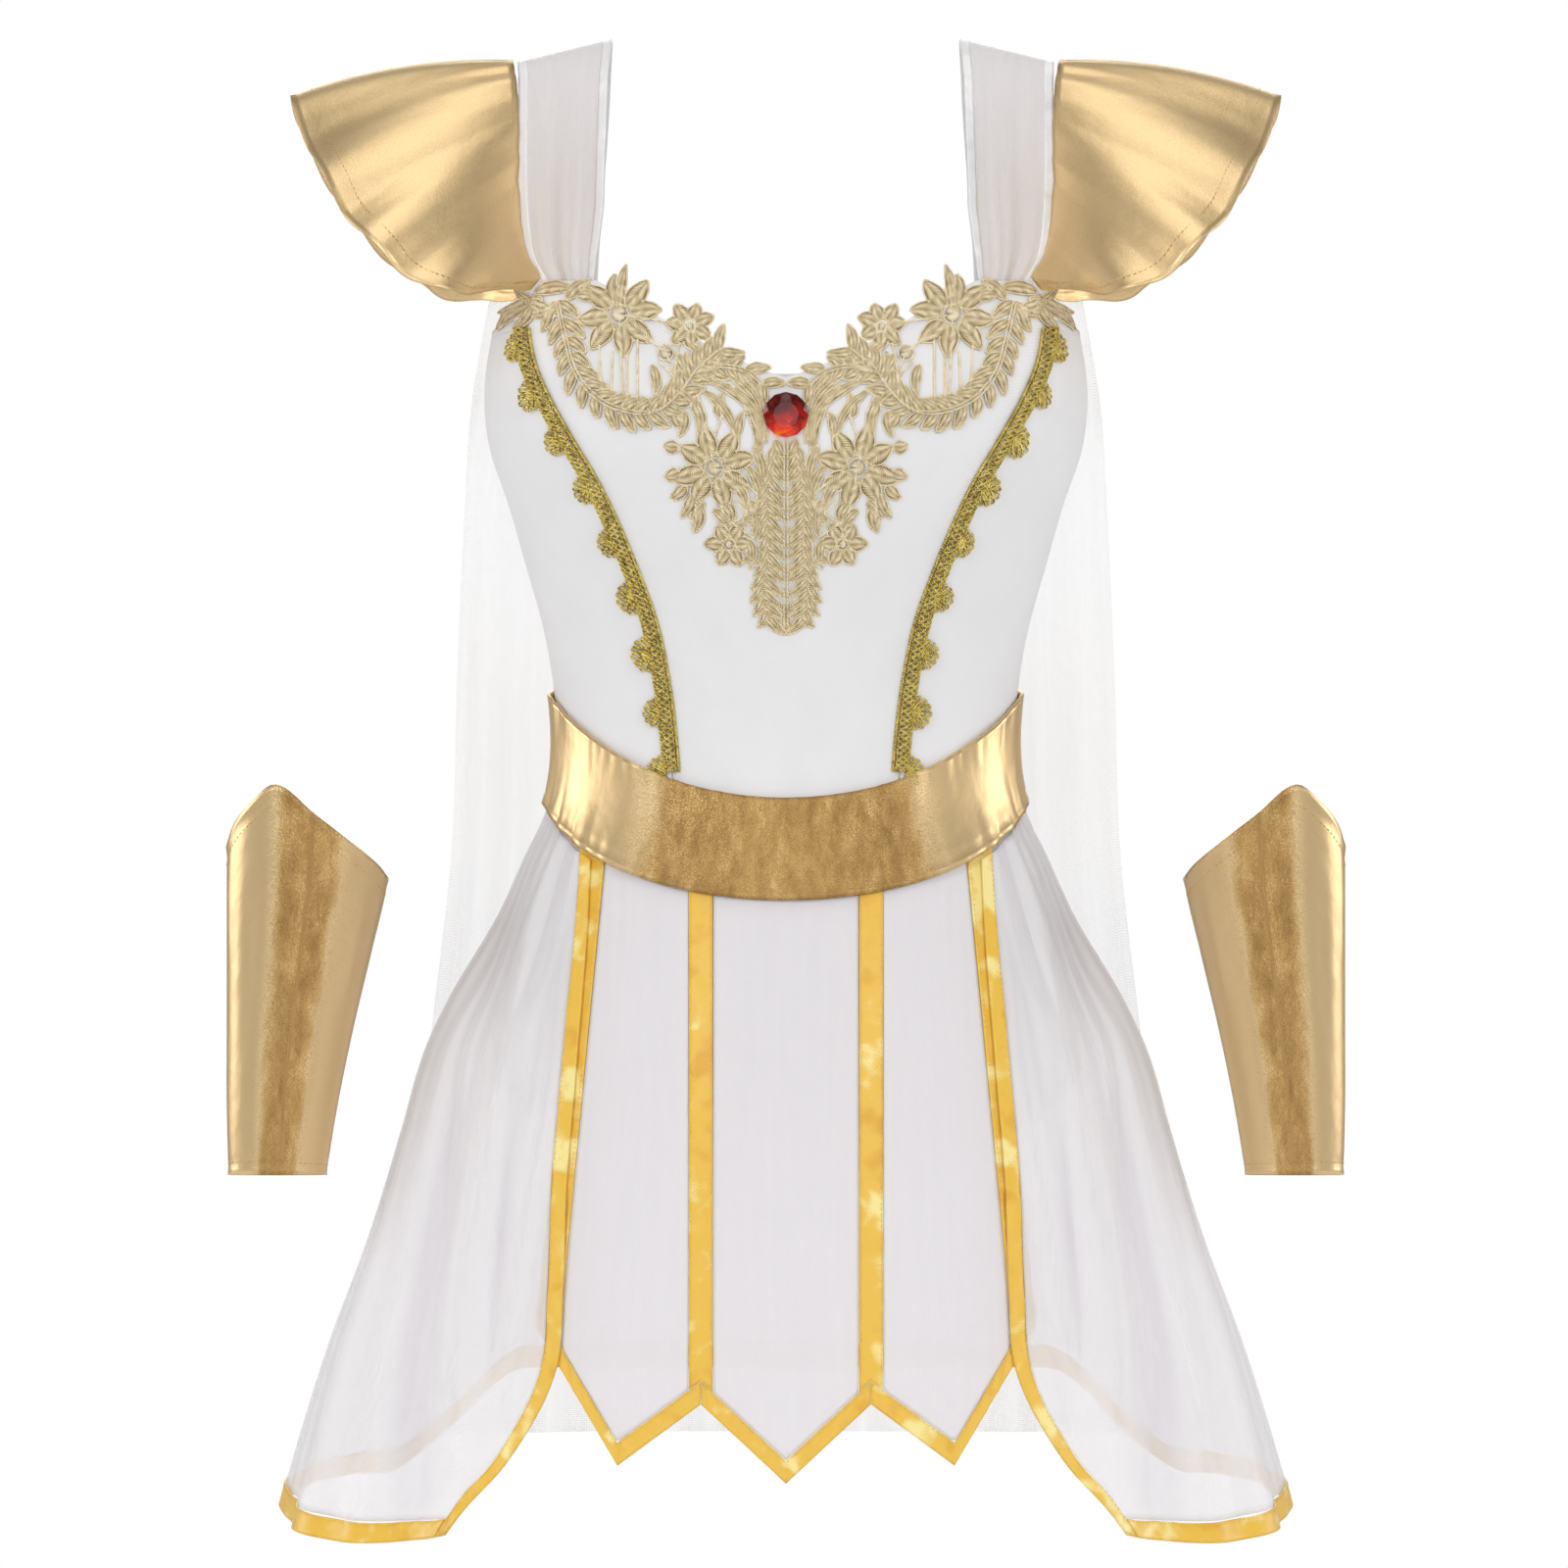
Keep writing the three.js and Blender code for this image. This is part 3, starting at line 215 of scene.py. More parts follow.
def gridNormals(points, centre, closed):
    if closed:
        alongS = np.roll(points, -1, 1) - np.roll(points, 1, 1)
    else:
        alongS = np.gradient(points, axis=1)
    normal = unit(np.cross(alongS, np.gradient(points, axis=0)))
    away = np.sum(normal * (points - centre(points)), -1)
    return -normal if np.median(away) < 0 else normal


def blurred(grid, reach, closed):
    # each row's running mean over a window, for telling folds from the form below them
    count = grid.shape[1]
    reach = max(2, min(reach, count // 3))
    mode = "wrap" if closed else "edge"
    padded = np.pad(grid, ((0, 0), (reach, reach), (0, 0)), mode=mode)
    if not closed:
        for k in range(reach):
            padded[:, k] = 2 * grid[:, 0] - grid[:, min(reach - k, count - 1)]
            padded[:, -1 - k] = 2 * grid[:, -1] - grid[:, -1 - min(reach - k, count - 1)]
    total = np.cumsum(np.pad(padded, ((0, 0), (1, 0), (0, 0))), axis=1)
    return (total[:, 2 * reach + 1:] - total[:, :-2 * reach - 1]) / (2 * reach + 1)


def plainObject(name, points, faces, material, smoothShade=True):
    mesh = bpy.data.meshes.new(name)
    mesh.from_pydata((np.asarray(points) * metre).tolist(), [], [list(map(int, face)) for face in faces])
    mesh.polygons.foreach_set("use_smooth", [smoothShade] * len(mesh.polygons))
    mesh.materials.append(material)
    piece = bpy.data.objects.new(name, mesh)
    bpy.context.scene.collection.objects.link(piece)
    return piece


def addUv(piece, uv):
    # uv in metres, one for each vertex
    layer = piece.data.uv_layers.new(name="cut")
    corners = np.empty(len(piece.data.loops), int)
    piece.data.loops.foreach_get("vertex_index", corners)
    layer.data.foreach_set("uv", np.asarray(uv, np.float32)[corners].ravel())


def addValue(piece, name, values):
    attribute = piece.data.attributes.new(name, "FLOAT", "POINT")
    attribute.data.foreach_set("value", np.asarray(values, np.float32).ravel())


def clothWall(name, surface, columns, rows, material, lift=0.0, thickness=1.0, centre=bodyAxis,
              closed=False, relief=None, blur=14):
    # inner and outer skin, joined at the rims; relief raises or sinks the cloth in millimetres
    s, t = np.meshgrid(columns, rows)
    points = surface(s, t)
    if relief is not None:
        points = points + gridNormals(points, centre, closed) * relief(s, t, points)[..., None]
    normal = gridNormals(points, centre, closed)
    count, across = s.shape
    skins = [points + normal * lift, points + normal * (lift + thickness)]
    layer = count * across

    row, column = np.meshgrid(np.arange(count - 1), np.arange(across if closed else across - 1), indexing="ij")
    a = row * across + column
    b = row * across + (column + 1) % across
    c, d = b + across, a + across
    sheet = np.stack([a, b, c, d], -1).reshape(-1, 4)
    trial = skins[1].reshape(-1, 3)[sheet[0]]
    facing = np.dot(np.cross(trial[1] - trial[0], trial[2] - trial[0]), normal.reshape(-1, 3)[sheet[0, 0]])
    if facing < 0:
        sheet = sheet[:, ::-1]
    edges = []
    first, last = np.arange(across), (count - 1) * across + np.arange(across)
    for line, turned in ((first, True), (last, False)):
        following = np.roll(line, -1)
        pairs = np.stack([line, following], -1)
        edges.append((pairs if closed else pairs[:-1], turned))
    if not closed:
        down = np.arange(count) * across
        edges.append((np.stack([down[:-1], down[1:]], -1), False))
        edges.append((np.stack([down[:-1], down[1:]], -1) + across - 1, True))
    rims = []
    for pairs, turned in edges:
        flip = turned != (facing < 0)
        p, q = (pairs[:, 1], pairs[:, 0]) if flip else (pairs[:, 0], pairs[:, 1])
        rims.append(np.stack([q, p, p + layer, q + layer], -1))
    faces = np.concatenate([sheet + layer, sheet[:, ::-1], *rims])
    piece = plainObject(name, np.concatenate([skin.reshape(-1, 3) for skin in skins]), faces, material)

    middle = skins[1]
    acrossSteps = np.linalg.norm(np.diff(middle, axis=1), axis=-1).mean(0)
    downSteps = np.linalg.norm(np.diff(middle, axis=0), axis=-1).mean(1)
    u = np.concatenate([[0], np.cumsum(acrossSteps)])
    v = np.concatenate([[0], np.cumsum(downSteps)])
    uv = np.stack(np.meshgrid((u - u.mean()) * metre, -v * metre), -1).reshape(-1, 2)
    addUv(piece, np.concatenate([uv, uv]))
    proud = np.sum((middle - blurred(middle, blur, closed)) * normal, -1)
    step = np.maximum(np.linalg.norm(np.gradient(middle, axis=1), axis=-1), 1e-3)
    flank = np.abs(np.gradient(proud, axis=1)) / step
    addValue(piece, "flank", np.tile(np.clip(flank * 4, 0, 1).ravel(), 2))
    # how deep the cloth sinks below its blurred form, which the materials use as painted shade in the creases
    addValue(piece, "creaseShade", np.tile(np.clip(-proud / 2.5, 0, 1).ravel(), 2))
    piece["cut"] = cutOf(middle, closed)
    return piece


def cutOf(middle, closed):
    # the flat size of the cloth in metres: its widest row, its longest column and its area
    ring = np.concatenate([middle, middle[:, :1]], 1) if closed else middle
    width = np.linalg.norm(np.diff(ring, axis=1), axis=-1).sum(1).max()
    length = np.linalg.norm(np.diff(middle, axis=0), axis=-1).sum(0).max()
    a = ring[:-1, 1:] - ring[:-1, :-1]
    b = ring[1:, :-1] - ring[:-1, :-1]
    area = np.linalg.norm(np.cross(a, b), axis=-1).sum()
    width, length, area = width * metre, length * metre, area * metre ** 2
    return [round(width, 3), round(length, 3), round(min(area, width * length * 0.999), 5)]


def place(piece, nodes, held=None):
    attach(piece, "root")
    if nodes:
        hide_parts(*nodes)
    if held:
        width, length, area = piece["cut"]
        # a narrow binding is cut wider than it shows, and folded
        width = max(width, 0.0101)
        area = max(area, 0.301 * width * length)
        print("cut", piece.name, width, length, area)
    return piece


# Colours and nodes
def colour(code):
    # sRGB hex to linear
    parts = [int(code[i:i + 2], 16) / 255 for i in (1, 3, 5)]
    return (*[p / 12.92 if p <= 0.04045 else ((p + 0.055) / 1.055) ** 2.4 for p in parts], 1)


def addNode(tree, kind, inputs=None, **settings):
    node = tree.nodes.new(kind)
    for name, value in settings.items():
        setattr(node, name, value)
    for key, value in (inputs or {}).items():
        if isinstance(value, bpy.types.NodeSocket):
            tree.links.new(value, node.inputs[key])
        else:
            node.inputs[key].default_value = value
    return node


def newMaterial(name, **shaderValues):
    material = bpy.data.materials.new(name)
    material.use_nodes = True
    tree = material.node_tree
    shader = tree.nodes["Principled BSDF"]
    for key, value in shaderValues.items():
        shader.inputs[key.replace("_", " ")].default_value = value
    return material, tree, shader


def rampColours(node, *stops):
    # stops are (place, hex colour)
    ramp_ = node.color_ramp
    while len(ramp_.elements) > 1:
        ramp_.elements.remove(ramp_.elements[-1])
    ramp_.elements[0].position, ramp_.elements[0].color = stops[0][0], colour(stops[0][1])
    for at, code in stops[1:]:
        ramp_.elements.new(at).color = colour(code)
    return node.outputs["Color"]


def waveScale(millimetres):
    # a wave texture's bands lie 0.314 apart at scale 1
    return 0.31416 / (millimetres * metre)


def grainScale(millimetres):
    return 1 / (millimetres * metre)


def stretchKnit():
    # nylon and elastane tricot, brushed: matt white with a faint diagonal twill, a little soft sheen, and painted shade
    # that greys it in the creases
    values = {"twill": 1.2, "twillAngle": 0.62, "pill": 0.5}
    material, tree, shader = newMaterial("brushed nylon stretch knit", Roughness=0.78)
    shader.inputs["Sheen Weight"].default_value = 0.25
    shader.inputs["Sheen Roughness"].default_value = 0.45
    place_ = addNode(tree, "ShaderNodeUVMap", uv_map="cut")
    turned = addNode(tree, "ShaderNodeMapping", {"Vector": place_.outputs[0], "Rotation": (0, 0, values["twillAngle"])})
    twill = addNode(tree, "ShaderNodeTexWave", {
        "Vector": turned.outputs[0], "Scale": waveScale(values["twill"]), "Distortion": 0.6,
        "Detail": 1.0, "Detail Scale": 3.0})
    pill = addNode(tree, "ShaderNodeTexNoise", {"Vector": place_.outputs[0], "Scale": grainScale(values["pill"]),
                                                "Detail": 2.0})
    cloud = addNode(tree, "ShaderNodeTexNoise", {"Vector": place_.outputs[0], "Scale": grainScale(46)})
    tone = addNode(tree, "ShaderNodeMath", {0: twill.outputs["Fac"], 1: 0.2}, operation="MULTIPLY")
    tone = addNode(tree, "ShaderNodeMath", {0: pill.outputs["Fac"], 1: 0.35, 2: tone.outputs[0]},
                   operation="MULTIPLY_ADD")
    tone = addNode(tree, "ShaderNodeMath", {0: cloud.outputs["Fac"], 1: 0.3, 2: tone.outputs[0]},
                   operation="MULTIPLY_ADD")
    shade = addNode(tree, "ShaderNodeValToRGB", {"Fac": tone.outputs[0]})
    shaded = rampColours(shade, (0.1, "#E2E2E6"), (0.7, "#F4F4F5"))
    # painted shade: the colour turns grey where the cloth sinks into a crease
    creaseShade = addNode(tree, "ShaderNodeAttribute", attribute_name="creaseShade")
    darker = addNode(tree, "ShaderNodeMix", {"Factor": creaseShade.outputs["Fac"], "A": shaded,
                                             "B": colour("#CFCFD4")}, data_type="RGBA")
    tree.links.new(darker.outputs["Result"], shader.inputs["Base Color"])
    bump = addNode(tree, "ShaderNodeBump", {"Height": tone.outputs[0], "Strength": 0.14, "Distance": 0.0006})
    tree.links.new(bump.outputs[0], shader.inputs["Normal"])
    return material


def sheerVoile(name, clear, thick, tint, shadeTint):
    # polyester voile: fine open weave that lets the light through, denser on the flanks of its folds, with painted
    # shade that greys it in the creases
    values = {"thread": 1.3, "slub": 9}
    material, tree, shader = newMaterial(name, Roughness=0.55)
    shader.inputs["Sheen Weight"].default_value = 0.35
    shader.inputs["Sheen Roughness"].default_value = 0.35
    place_ = addNode(tree, "ShaderNodeUVMap", uv_map="cut")
    flank = addNode(tree, "ShaderNodeAttribute", attribute_name="flank")
    creaseShade = addNode(tree, "ShaderNodeAttribute", attribute_name="creaseShade")
    weft = addNode(tree, "ShaderNodeTexWave", {"Vector": place_.outputs[0], "Scale": waveScale(values["thread"]),
                                               "Distortion": 1.2, "Detail": 2.0}, bands_direction="Y")
    warp = addNode(tree, "ShaderNodeTexWave", {"Vector": place_.outputs[0], "Scale": waveScale(values["thread"]),
                                               "Distortion": 1.2, "Detail": 2.0}, bands_direction="X")
    weave = addNode(tree, "ShaderNodeMath", {0: weft.outputs["Fac"], 1: warp.outputs["Fac"]}, operation="MAXIMUM")
    stretched = addNode(tree, "ShaderNodeMapping", {"Vector": place_.outputs[0], "Scale": (1, 0.12, 1)})
    slub = addNode(tree, "ShaderNodeTexNoise", {"Vector": stretched.outputs[0], "Scale": grainScale(values["slub"]),
                                                "Detail": 3.0})
    cover = addNode(tree, "ShaderNodeMath", {0: weave.outputs[0], 1: 0.09, 2: clear}, operation="MULTIPLY_ADD")
    cover = addNode(tree, "ShaderNodeMath", {0: slub.outputs["Fac"], 1: 0.06, 2: cover.outputs[0]},
                    operation="MULTIPLY_ADD")
    cover = addNode(tree, "ShaderNodeMath", {0: flank.outputs["Fac"], 1: thick - clear, 2: cover.outputs[0]},
                    operation="MULTIPLY_ADD", use_clamp=True)
    tree.links.new(cover.outputs[0], shader.inputs["Alpha"])
    # painted shade: the tint turns to shadeTint where the cloth sinks into a crease
    shade = addNode(tree, "ShaderNodeMath", {0: creaseShade.outputs["Fac"], 1: 0.5}, operation="MULTIPLY")
    tinted = addNode(tree, "ShaderNodeMix", {"Factor": shade.outputs[0], "A": colour(tint),
                                             "B": colour(shadeTint)}, data_type="RGBA")
    tree.links.new(tinted.outputs["Result"], shader.inputs["Base Color"])
    bump = addNode(tree, "ShaderNodeBump", {"Height": weave.outputs[0], "Strength": 0.15, "Distance": 0.0003})
    tree.links.new(bump.outputs[0], shader.inputs["Normal"])
    return material


def foilLame():
    # gold foil on knit: mirror-like on its smooth parts, crackled to a dull grain where it is stretched
    values = {"flake": 1.7, "grain": 0.7, "wrinkle": 14, "patch": 11}
    material, tree, shader = newMaterial("crackled gold foil lame", Metallic=0.86)
    place_ = addNode(tree, "ShaderNodeUVMap", uv_map="cut")
    worn = addNode(tree, "ShaderNodeAttribute", attribute_name="crackle")
    flake = addNode(tree, "ShaderNodeTexVoronoi", {"Vector": place_.outputs[0], "Randomness": 1.0,
                                                   "Scale": grainScale(values["flake"])}, feature="DISTANCE_TO_EDGE")
    crack = addNode(tree, "ShaderNodeMapRange", {"Value": flake.outputs["Distance"], "From Min": 0.0,
                                                 "From Max": 0.12, "To Min": 0.6, "To Max": 0.0})
    grain = addNode(tree, "ShaderNodeTexNoise", {"Vector": place_.outputs[0], "Scale": grainScale(values["grain"]),
                                                 "Detail": 3.0, "Roughness": 0.7})
    wrinkle = addNode(tree, "ShaderNodeTexNoise", {"Vector": place_.outputs[0],
                                                   "Scale": grainScale(values["wrinkle"]), "Detail": 2.5})
    drawn = addNode(tree, "ShaderNodeMapping", {"Vector": place_.outputs[0], "Scale": (1, 0.45, 1)})
    patch = addNode(tree, "ShaderNodeTexNoise", {"Vector": drawn.outputs[0], "Scale": grainScale(values["patch"]),
                                                 "Detail": 4.0, "Roughness": 0.65})
    cracked = addNode(tree, "ShaderNodeMath", {0: crack.outputs[0], 1: worn.outputs["Fac"]}, operation="MULTIPLY")
    mottle = addNode(tree, "ShaderNodeMath", {0: grain.outputs["Fac"], 1: 0.45, 2: patch.outputs["Fac"]},
                     operation="MULTIPLY_ADD")
    tone = addNode(tree, "ShaderNodeMath", {0: mottle.outputs[0], 1: worn.outputs["Fac"]}, operation="MULTIPLY")
    goldShade = addNode(tree, "ShaderNodeValToRGB", {"Fac": tone.outputs[0]})
    gold = rampColours(goldShade, (0.0, "#EACC9A"), (0.4, "#E8CC9A"), (0.64, "#C9A468"), (0.92, "#A07E4A"))
    tinted = addNode(tree, "ShaderNodeMix", {"Factor": cracked.outputs[0], "A": gold, "B": colour("#8F6E3C")},
                     data_type="RGBA")
    tree.links.new(tinted.outputs["Result"], shader.inputs["Base Color"])
    rough = addNode(tree, "ShaderNodeMath", {0: tone.outputs[0], 1: 0.12, 2: 0.38}, operation="MULTIPLY_ADD")
    tree.links.new(rough.outputs[0], shader.inputs["Roughness"])
    height = addNode(tree, "ShaderNodeMath", {0: cracked.outputs[0], 1: -0.7, 2: wrinkle.outputs["Fac"]},
                     operation="MULTIPLY_ADD")
    height = addNode(tree, "ShaderNodeMath", {0: tone.outputs[0], 1: 0.7, 2: height.outputs[0]},
                     operation="MULTIPLY_ADD")
    bump = addNode(tree, "ShaderNodeBump", {"Height": height.outputs[0], "Strength": 0.34, "Distance": 0.0012})
    tree.links.new(bump.outputs[0], shader.inputs["Normal"])
    return material


def ribbonSatin(name, dark, mid, light):
    # polyester satin ribbon: fine ribs across, with painted highlights and painted shade as bright and dark noise
    # patches in its colour, the same patches as shallow bumps
    values = {"rib": 0.9, "patch": 26}
    material, tree, shader = newMaterial(name, Roughness=0.36)
    shader.inputs["Sheen Weight"].default_value = 0.2
    place_ = addNode(tree, "ShaderNodeUVMap", uv_map="cut")
    where = addNode(tree, "ShaderNodeTexCoord")
    rib = addNode(tree, "ShaderNodeTexNoise", {"Vector": place_.outputs[0], "Scale": grainScale(values["rib"]),
                                               "Detail": 1.0})
    patch = addNode(tree, "ShaderNodeTexNoise", {"Vector": where.outputs["Object"],
                                                 "Scale": grainScale(values["patch"]), "Detail": 2.0,
                                                 "Roughness": 0.6})
    tone = addNode(tree, "ShaderNodeMath", {0: rib.outputs["Fac"], 1: 0.14, 2: patch.outputs["Fac"]},
                   operation="MULTIPLY_ADD")
    # painted highlight and painted shade: the patches lighten or darken the colour towards the light and dark ends
    shade = addNode(tree, "ShaderNodeValToRGB", {"Fac": tone.outputs[0]})
    shaded = rampColours(shade, (0.36, dark), (0.48, mid), (0.62, mid), (0.72, light))
    tree.links.new(shaded, shader.inputs["Base Color"])
    height = addNode(tree, "ShaderNodeMath", {0: rib.outputs["Fac"], 1: 0.12, 2: patch.outputs["Fac"]},
                     operation="MULTIPLY_ADD")
    bump = addNode(tree, "ShaderNodeBump", {"Height": height.outputs[0], "Strength": 0.3, "Distance": 0.002})
    tree.links.new(bump.outputs[0], shader.inputs["Normal"])
    return material


def threadwork(name, dark, mid, light, metallic, roughness, ridge, depth):
    # embroidery or metallised thread: ridges of single threads, painted lighter on their tops and darker between them
    # (painted highlight and painted shade), with a random mottle
    material, tree, shader = newMaterial(name, Metallic=metallic, Roughness=roughness)
    where = addNode(tree, "ShaderNodeTexCoord")
    ridges = addNode(tree, "ShaderNodeTexWave", {"Vector": where.outputs["Object"], "Scale": waveScale(ridge),
                                                 "Distortion": 2.5, "Detail": 2.0, "Detail Scale": 1.5},
                     bands_direction="DIAGONAL")
    mottle = addNode(tree, "ShaderNodeTexNoise", {"Vector": where.outputs["Object"], "Scale": grainScale(3.5),
                                                  "Detail": 3.0})
    tone = addNode(tree, "ShaderNodeMath", {0: ridges.outputs["Fac"], 1: 0.5, 2: mottle.outputs["Fac"]},
                   operation="MULTIPLY_ADD")
    # painted highlight and painted shade: the ridge bands run from the dark colour between the threads to the light
    # colour on their tops
    shade = addNode(tree, "ShaderNodeValToRGB", {"Fac": tone.outputs[0]})
    shaded = rampColours(shade, (0.35, dark), (0.65, mid), (1.0, light))
    tree.links.new(shaded, shader.inputs["Base Color"])
    bump = addNode(tree, "ShaderNodeBump", {"Height": tone.outputs[0], "Strength": depth, "Distance": 0.0006})
    tree.links.new(bump.outputs[0], shader.inputs["Normal"])
    return material


def satinStitch():
    # rayon satin stitch: shiny slanting threads, painted lighter on each thread and darker between them, with painted
    # shade towards the motif's edges, along its sunk vein and on its underside
    values = {"thread": 1.1}
    material, tree, shader = newMaterial("champagne rayon satin stitch", Roughness=0.45)
    shader.inputs["Sheen Weight"].default_value = 0.2
    place_ = addNode(tree, "ShaderNodeUVMap", uv_map="cut")
    rim = addNode(tree, "ShaderNodeAttribute", attribute_name="rim")
    thread = addNode(tree, "ShaderNodeTexWave", {"Vector": place_.outputs[0], "Scale": waveScale(values["thread"]),
                                                 "Distortion": 1.6, "Detail": 2.0, "Detail Scale": 2.0},
                     bands_direction="X")
    mottle = addNode(tree, "ShaderNodeTexNoise", {"Vector": place_.outputs[0], "Scale": grainScale(4),
                                                  "Detail": 3.0})
    tone = addNode(tree, "ShaderNodeMath", {0: thread.outputs["Fac"], 1: 0.5, 2: mottle.outputs["Fac"]},
                   operation="MULTIPLY_ADD")
    # painted shade: the rim value darkens the colour towards the edges of each leaf, petal and dome
    tone = addNode(tree, "ShaderNodeMath", {0: rim.outputs["Fac"], 1: -0.8, 2: tone.outputs[0]},
                   operation="MULTIPLY_ADD")
    shade = addNode(tree, "ShaderNodeValToRGB", {"Fac": tone.outputs[0]})
    shaded = rampColours(shade, (0.1, "#4E3A18"), (0.34, "#B99E68"), (0.6, "#EAD8AC"), (1.0, "#FFF6DE"))
    tree.links.new(shaded, shader.inputs["Base Color"])
    bump = addNode(tree, "ShaderNodeBump", {"Height": thread.outputs["Fac"], "Strength": 0.55,
                                            "Distance": 0.0006})
    tree.links.new(bump.outputs[0], shader.inputs["Normal"])
    return material


def castResin():
    # foil-backed cast resin stone: glossy, with painted light: dark red above turning to orange and yellow below, and a
    # faint painted glow in the same colours
    material, tree, shader = newMaterial("foil backed red resin stone", Roughness=0.06, IOR=1.5)
    shader.inputs["Specular IOR Level"].default_value = 0.35
    where = addNode(tree, "ShaderNodeTexCoord")
    split = addNode(tree, "ShaderNodeSeparateXYZ", {"Vector": where.outputs["Object"]})
    cell = addNode(tree, "ShaderNodeTexVoronoi", {"Vector": where.outputs["Object"], "Scale": grainScale(5.5)})
    cellTone = addNode(tree, "ShaderNodeSeparateColor", {"Color": cell.outputs["Color"]})
    # painted light: by height, from dark red at the top to orange and yellow at the bottom, with a random tone per cell
    fall = addNode(tree, "ShaderNodeMapRange", {"Value": split.outputs["Z"], "From Min": -0.228,
                                                "From Max": -0.2})
    tone = addNode(tree, "ShaderNodeMath", {0: cellTone.outputs[0], 1: 0.34, 2: fall.outputs[0]},
                   operation="MULTIPLY_ADD")
    shade = addNode(tree, "ShaderNodeValToRGB", {"Fac": tone.outputs[0]})
    shaded = rampColours(shade, (0.1, "#F7A01E"), (0.26, "#E83A18"), (0.5, "#A8120C"), (0.9, "#4A0705"))
    tree.links.new(shaded, shader.inputs["Base Color"])
    # painted glow: the stone gives off its own colour as light, though it is no lamp
    tree.links.new(shaded, shader.inputs["Emission Color"])
    shader.inputs["Emission Strength"].default_value = 0.12
    return material


knit = stretchKnit()
# each voile's last colour is its painted shade in the creases
voile = sheerVoile("white polyester voile", 0.4, 0.54, "#F9F7FA", "#E8E4EB")
goreVoile = sheerVoile("close white polyester voile", 0.7, 0.8, "#F4F1F5", "#DCD8E0")
capeVoile = sheerVoile("very sheer white voile", 0.05, 0.18, "#FBFBFC", "#F0EEF2")
strapVoile = sheerVoile("gathered white voile", 0.34, 0.7, "#EFEBEC", "#CFCBD0")
lame = foilLame()
# each ribbon's first and last colours are its painted shade and painted highlight
satin = ribbonSatin("yellow satin ribbon", "#E6AE34", "#F0C244", "#FDEB9A")
whiteSatin = ribbonSatin("white satin binding", "#DEDDE0", "#ECECEE", "#F8F8F8")
# in each thread the dark and light colours are painted shade and painted highlight
laceThread = threadwork("champagne rayon cord", "#B4965C", "#EFDCAE", "#FFF6DE", 0.0, 0.5, 0.9, 0.5)
laceSatin = satinStitch()
gimp = threadwork("metallised gimp cord", "#5E4A0C", "#C0A24A", "#F4E486", 0.6, 0.34, 0.9, 0.7)
yellowThread = threadwork("yellow polyester thread", "#C8962C", "#E8BE4C", "#F8E08C", 0.0, 0.5, 0.5, 0.2)
goldThread = threadwork("gold sewing thread", "#8F6B2E", "#CDA85C", "#EED79A", 0.3, 0.4, 0.5, 0.2)
whiteThread = threadwork("white polyester thread", "#C9C9CE", "#E2E2E6", "#F4F4F4", 0.0, 0.6, 0.5, 0.2)
resin = castResin()
print("stage: materials made")


# Surfaces of the cut pieces
def seamHeight(t):
    top = neckline(seamTopAcross) - seamGap
    bottom = beltTop(frontAngle(princess(waistHeight), waistHeight)) - belt["tuck"]
    return lerp(top, bottom, t)


def bodiceFront(s, t):
    edge = princess(seamHeight(t)) - seamGap / 2
    top = neckline(s * princess(seamHeight(0)))
    foot = s * princess(seamHeight(1))
    bottom = beltTop(frontAngle(foot, waistHeight)) - belt["tuck"]
    return frontPoint(s * edge, lerp(top, bottom, t))


def bodiceSide(s, t):
    height = seamHeight(t)
    start = frontAngle(princess(height) + seamGap / 2, height)
    side = lerp(underarmHeight, beltTop(sideSeam) - belt["tuck"], t)
    return formPoint(-lerp(start, sideSeam - 0.1, s), lerp(height, side, s))


def backAngle(s):
    return lerp(sideSeam + 0.1, 360 - sideSeam - 0.1, s)


def bodiceBack(s, t):
    angle = backAngle(s)
    return formPoint(angle, lerp(backNeckline(angle), beltTop(angle) - belt["tuck"], t))


def beltFront(s, t):
    angle = s * (sideSeam - 0.1)
    return formPoint(angle, lerp(beltTop(angle), beltBottom(angle), t))


def beltBack(s, t):
    angle = backAngle(s)
    return formPoint(angle, lerp(beltTop(angle), beltBottom(angle), t))


# Strap, from the bodice's front over the shoulder: inner x, y, z and outer x, y, z
strapRows = [
    (108.5, -71, -123, 147, -42, -121), (105, -71, -97, 151, -38, -97), (104, -67, -71, 152, -36, -73),
    (103, -56, -43, 152, -31, -50), (102, -36, -15, 152, -21, -25), (100, -4, 2, 153, -2, -11),
    (101, 34, -14, 153, 23, -26), (103, 60, -50, 153, 40, -60), (107, 74, -100, 152, 52, -105),
    (110, 80, -150, 149, 57, -148),
]
strapEnds = {"frontInner": 110, "frontOuter": 138, "backInner": 112, "backOuter": 145}


def strapEnd(across, behind):
    if behind:
        angle = 180 - frontAngle(across, backNeckline(backSeam))
        return formPoint(angle, backNeckline(angle) + 3 * seamGap)
    return frontPoint(across, neckline(across) + seamGap)


def withShare(rows):
    return [(index / (len(rows) - 1), *row) for index, row in enumerate(rows)]


strapPath = withShare([
    (*strapEnd(strapEnds["frontInner"], False), *strapEnd(strapEnds["frontOuter"], False)), *strapRows,
    (*strapEnd(strapEnds["backInner"], True), *strapEnd(strapEnds["backOuter"], True)),
])


def edgePoint(rows, s, along):
    return np.stack([lerp(smooth(rows, k, along), smooth(rows, k + 3, along), s) for k in (1, 2, 3)], -1)


def strap(s, t):
    return edgePoint(strapPath, s, t)


def strapCentre(points):
    return np.broadcast_to(np.array([125.0, 0, -120]), points.shape)


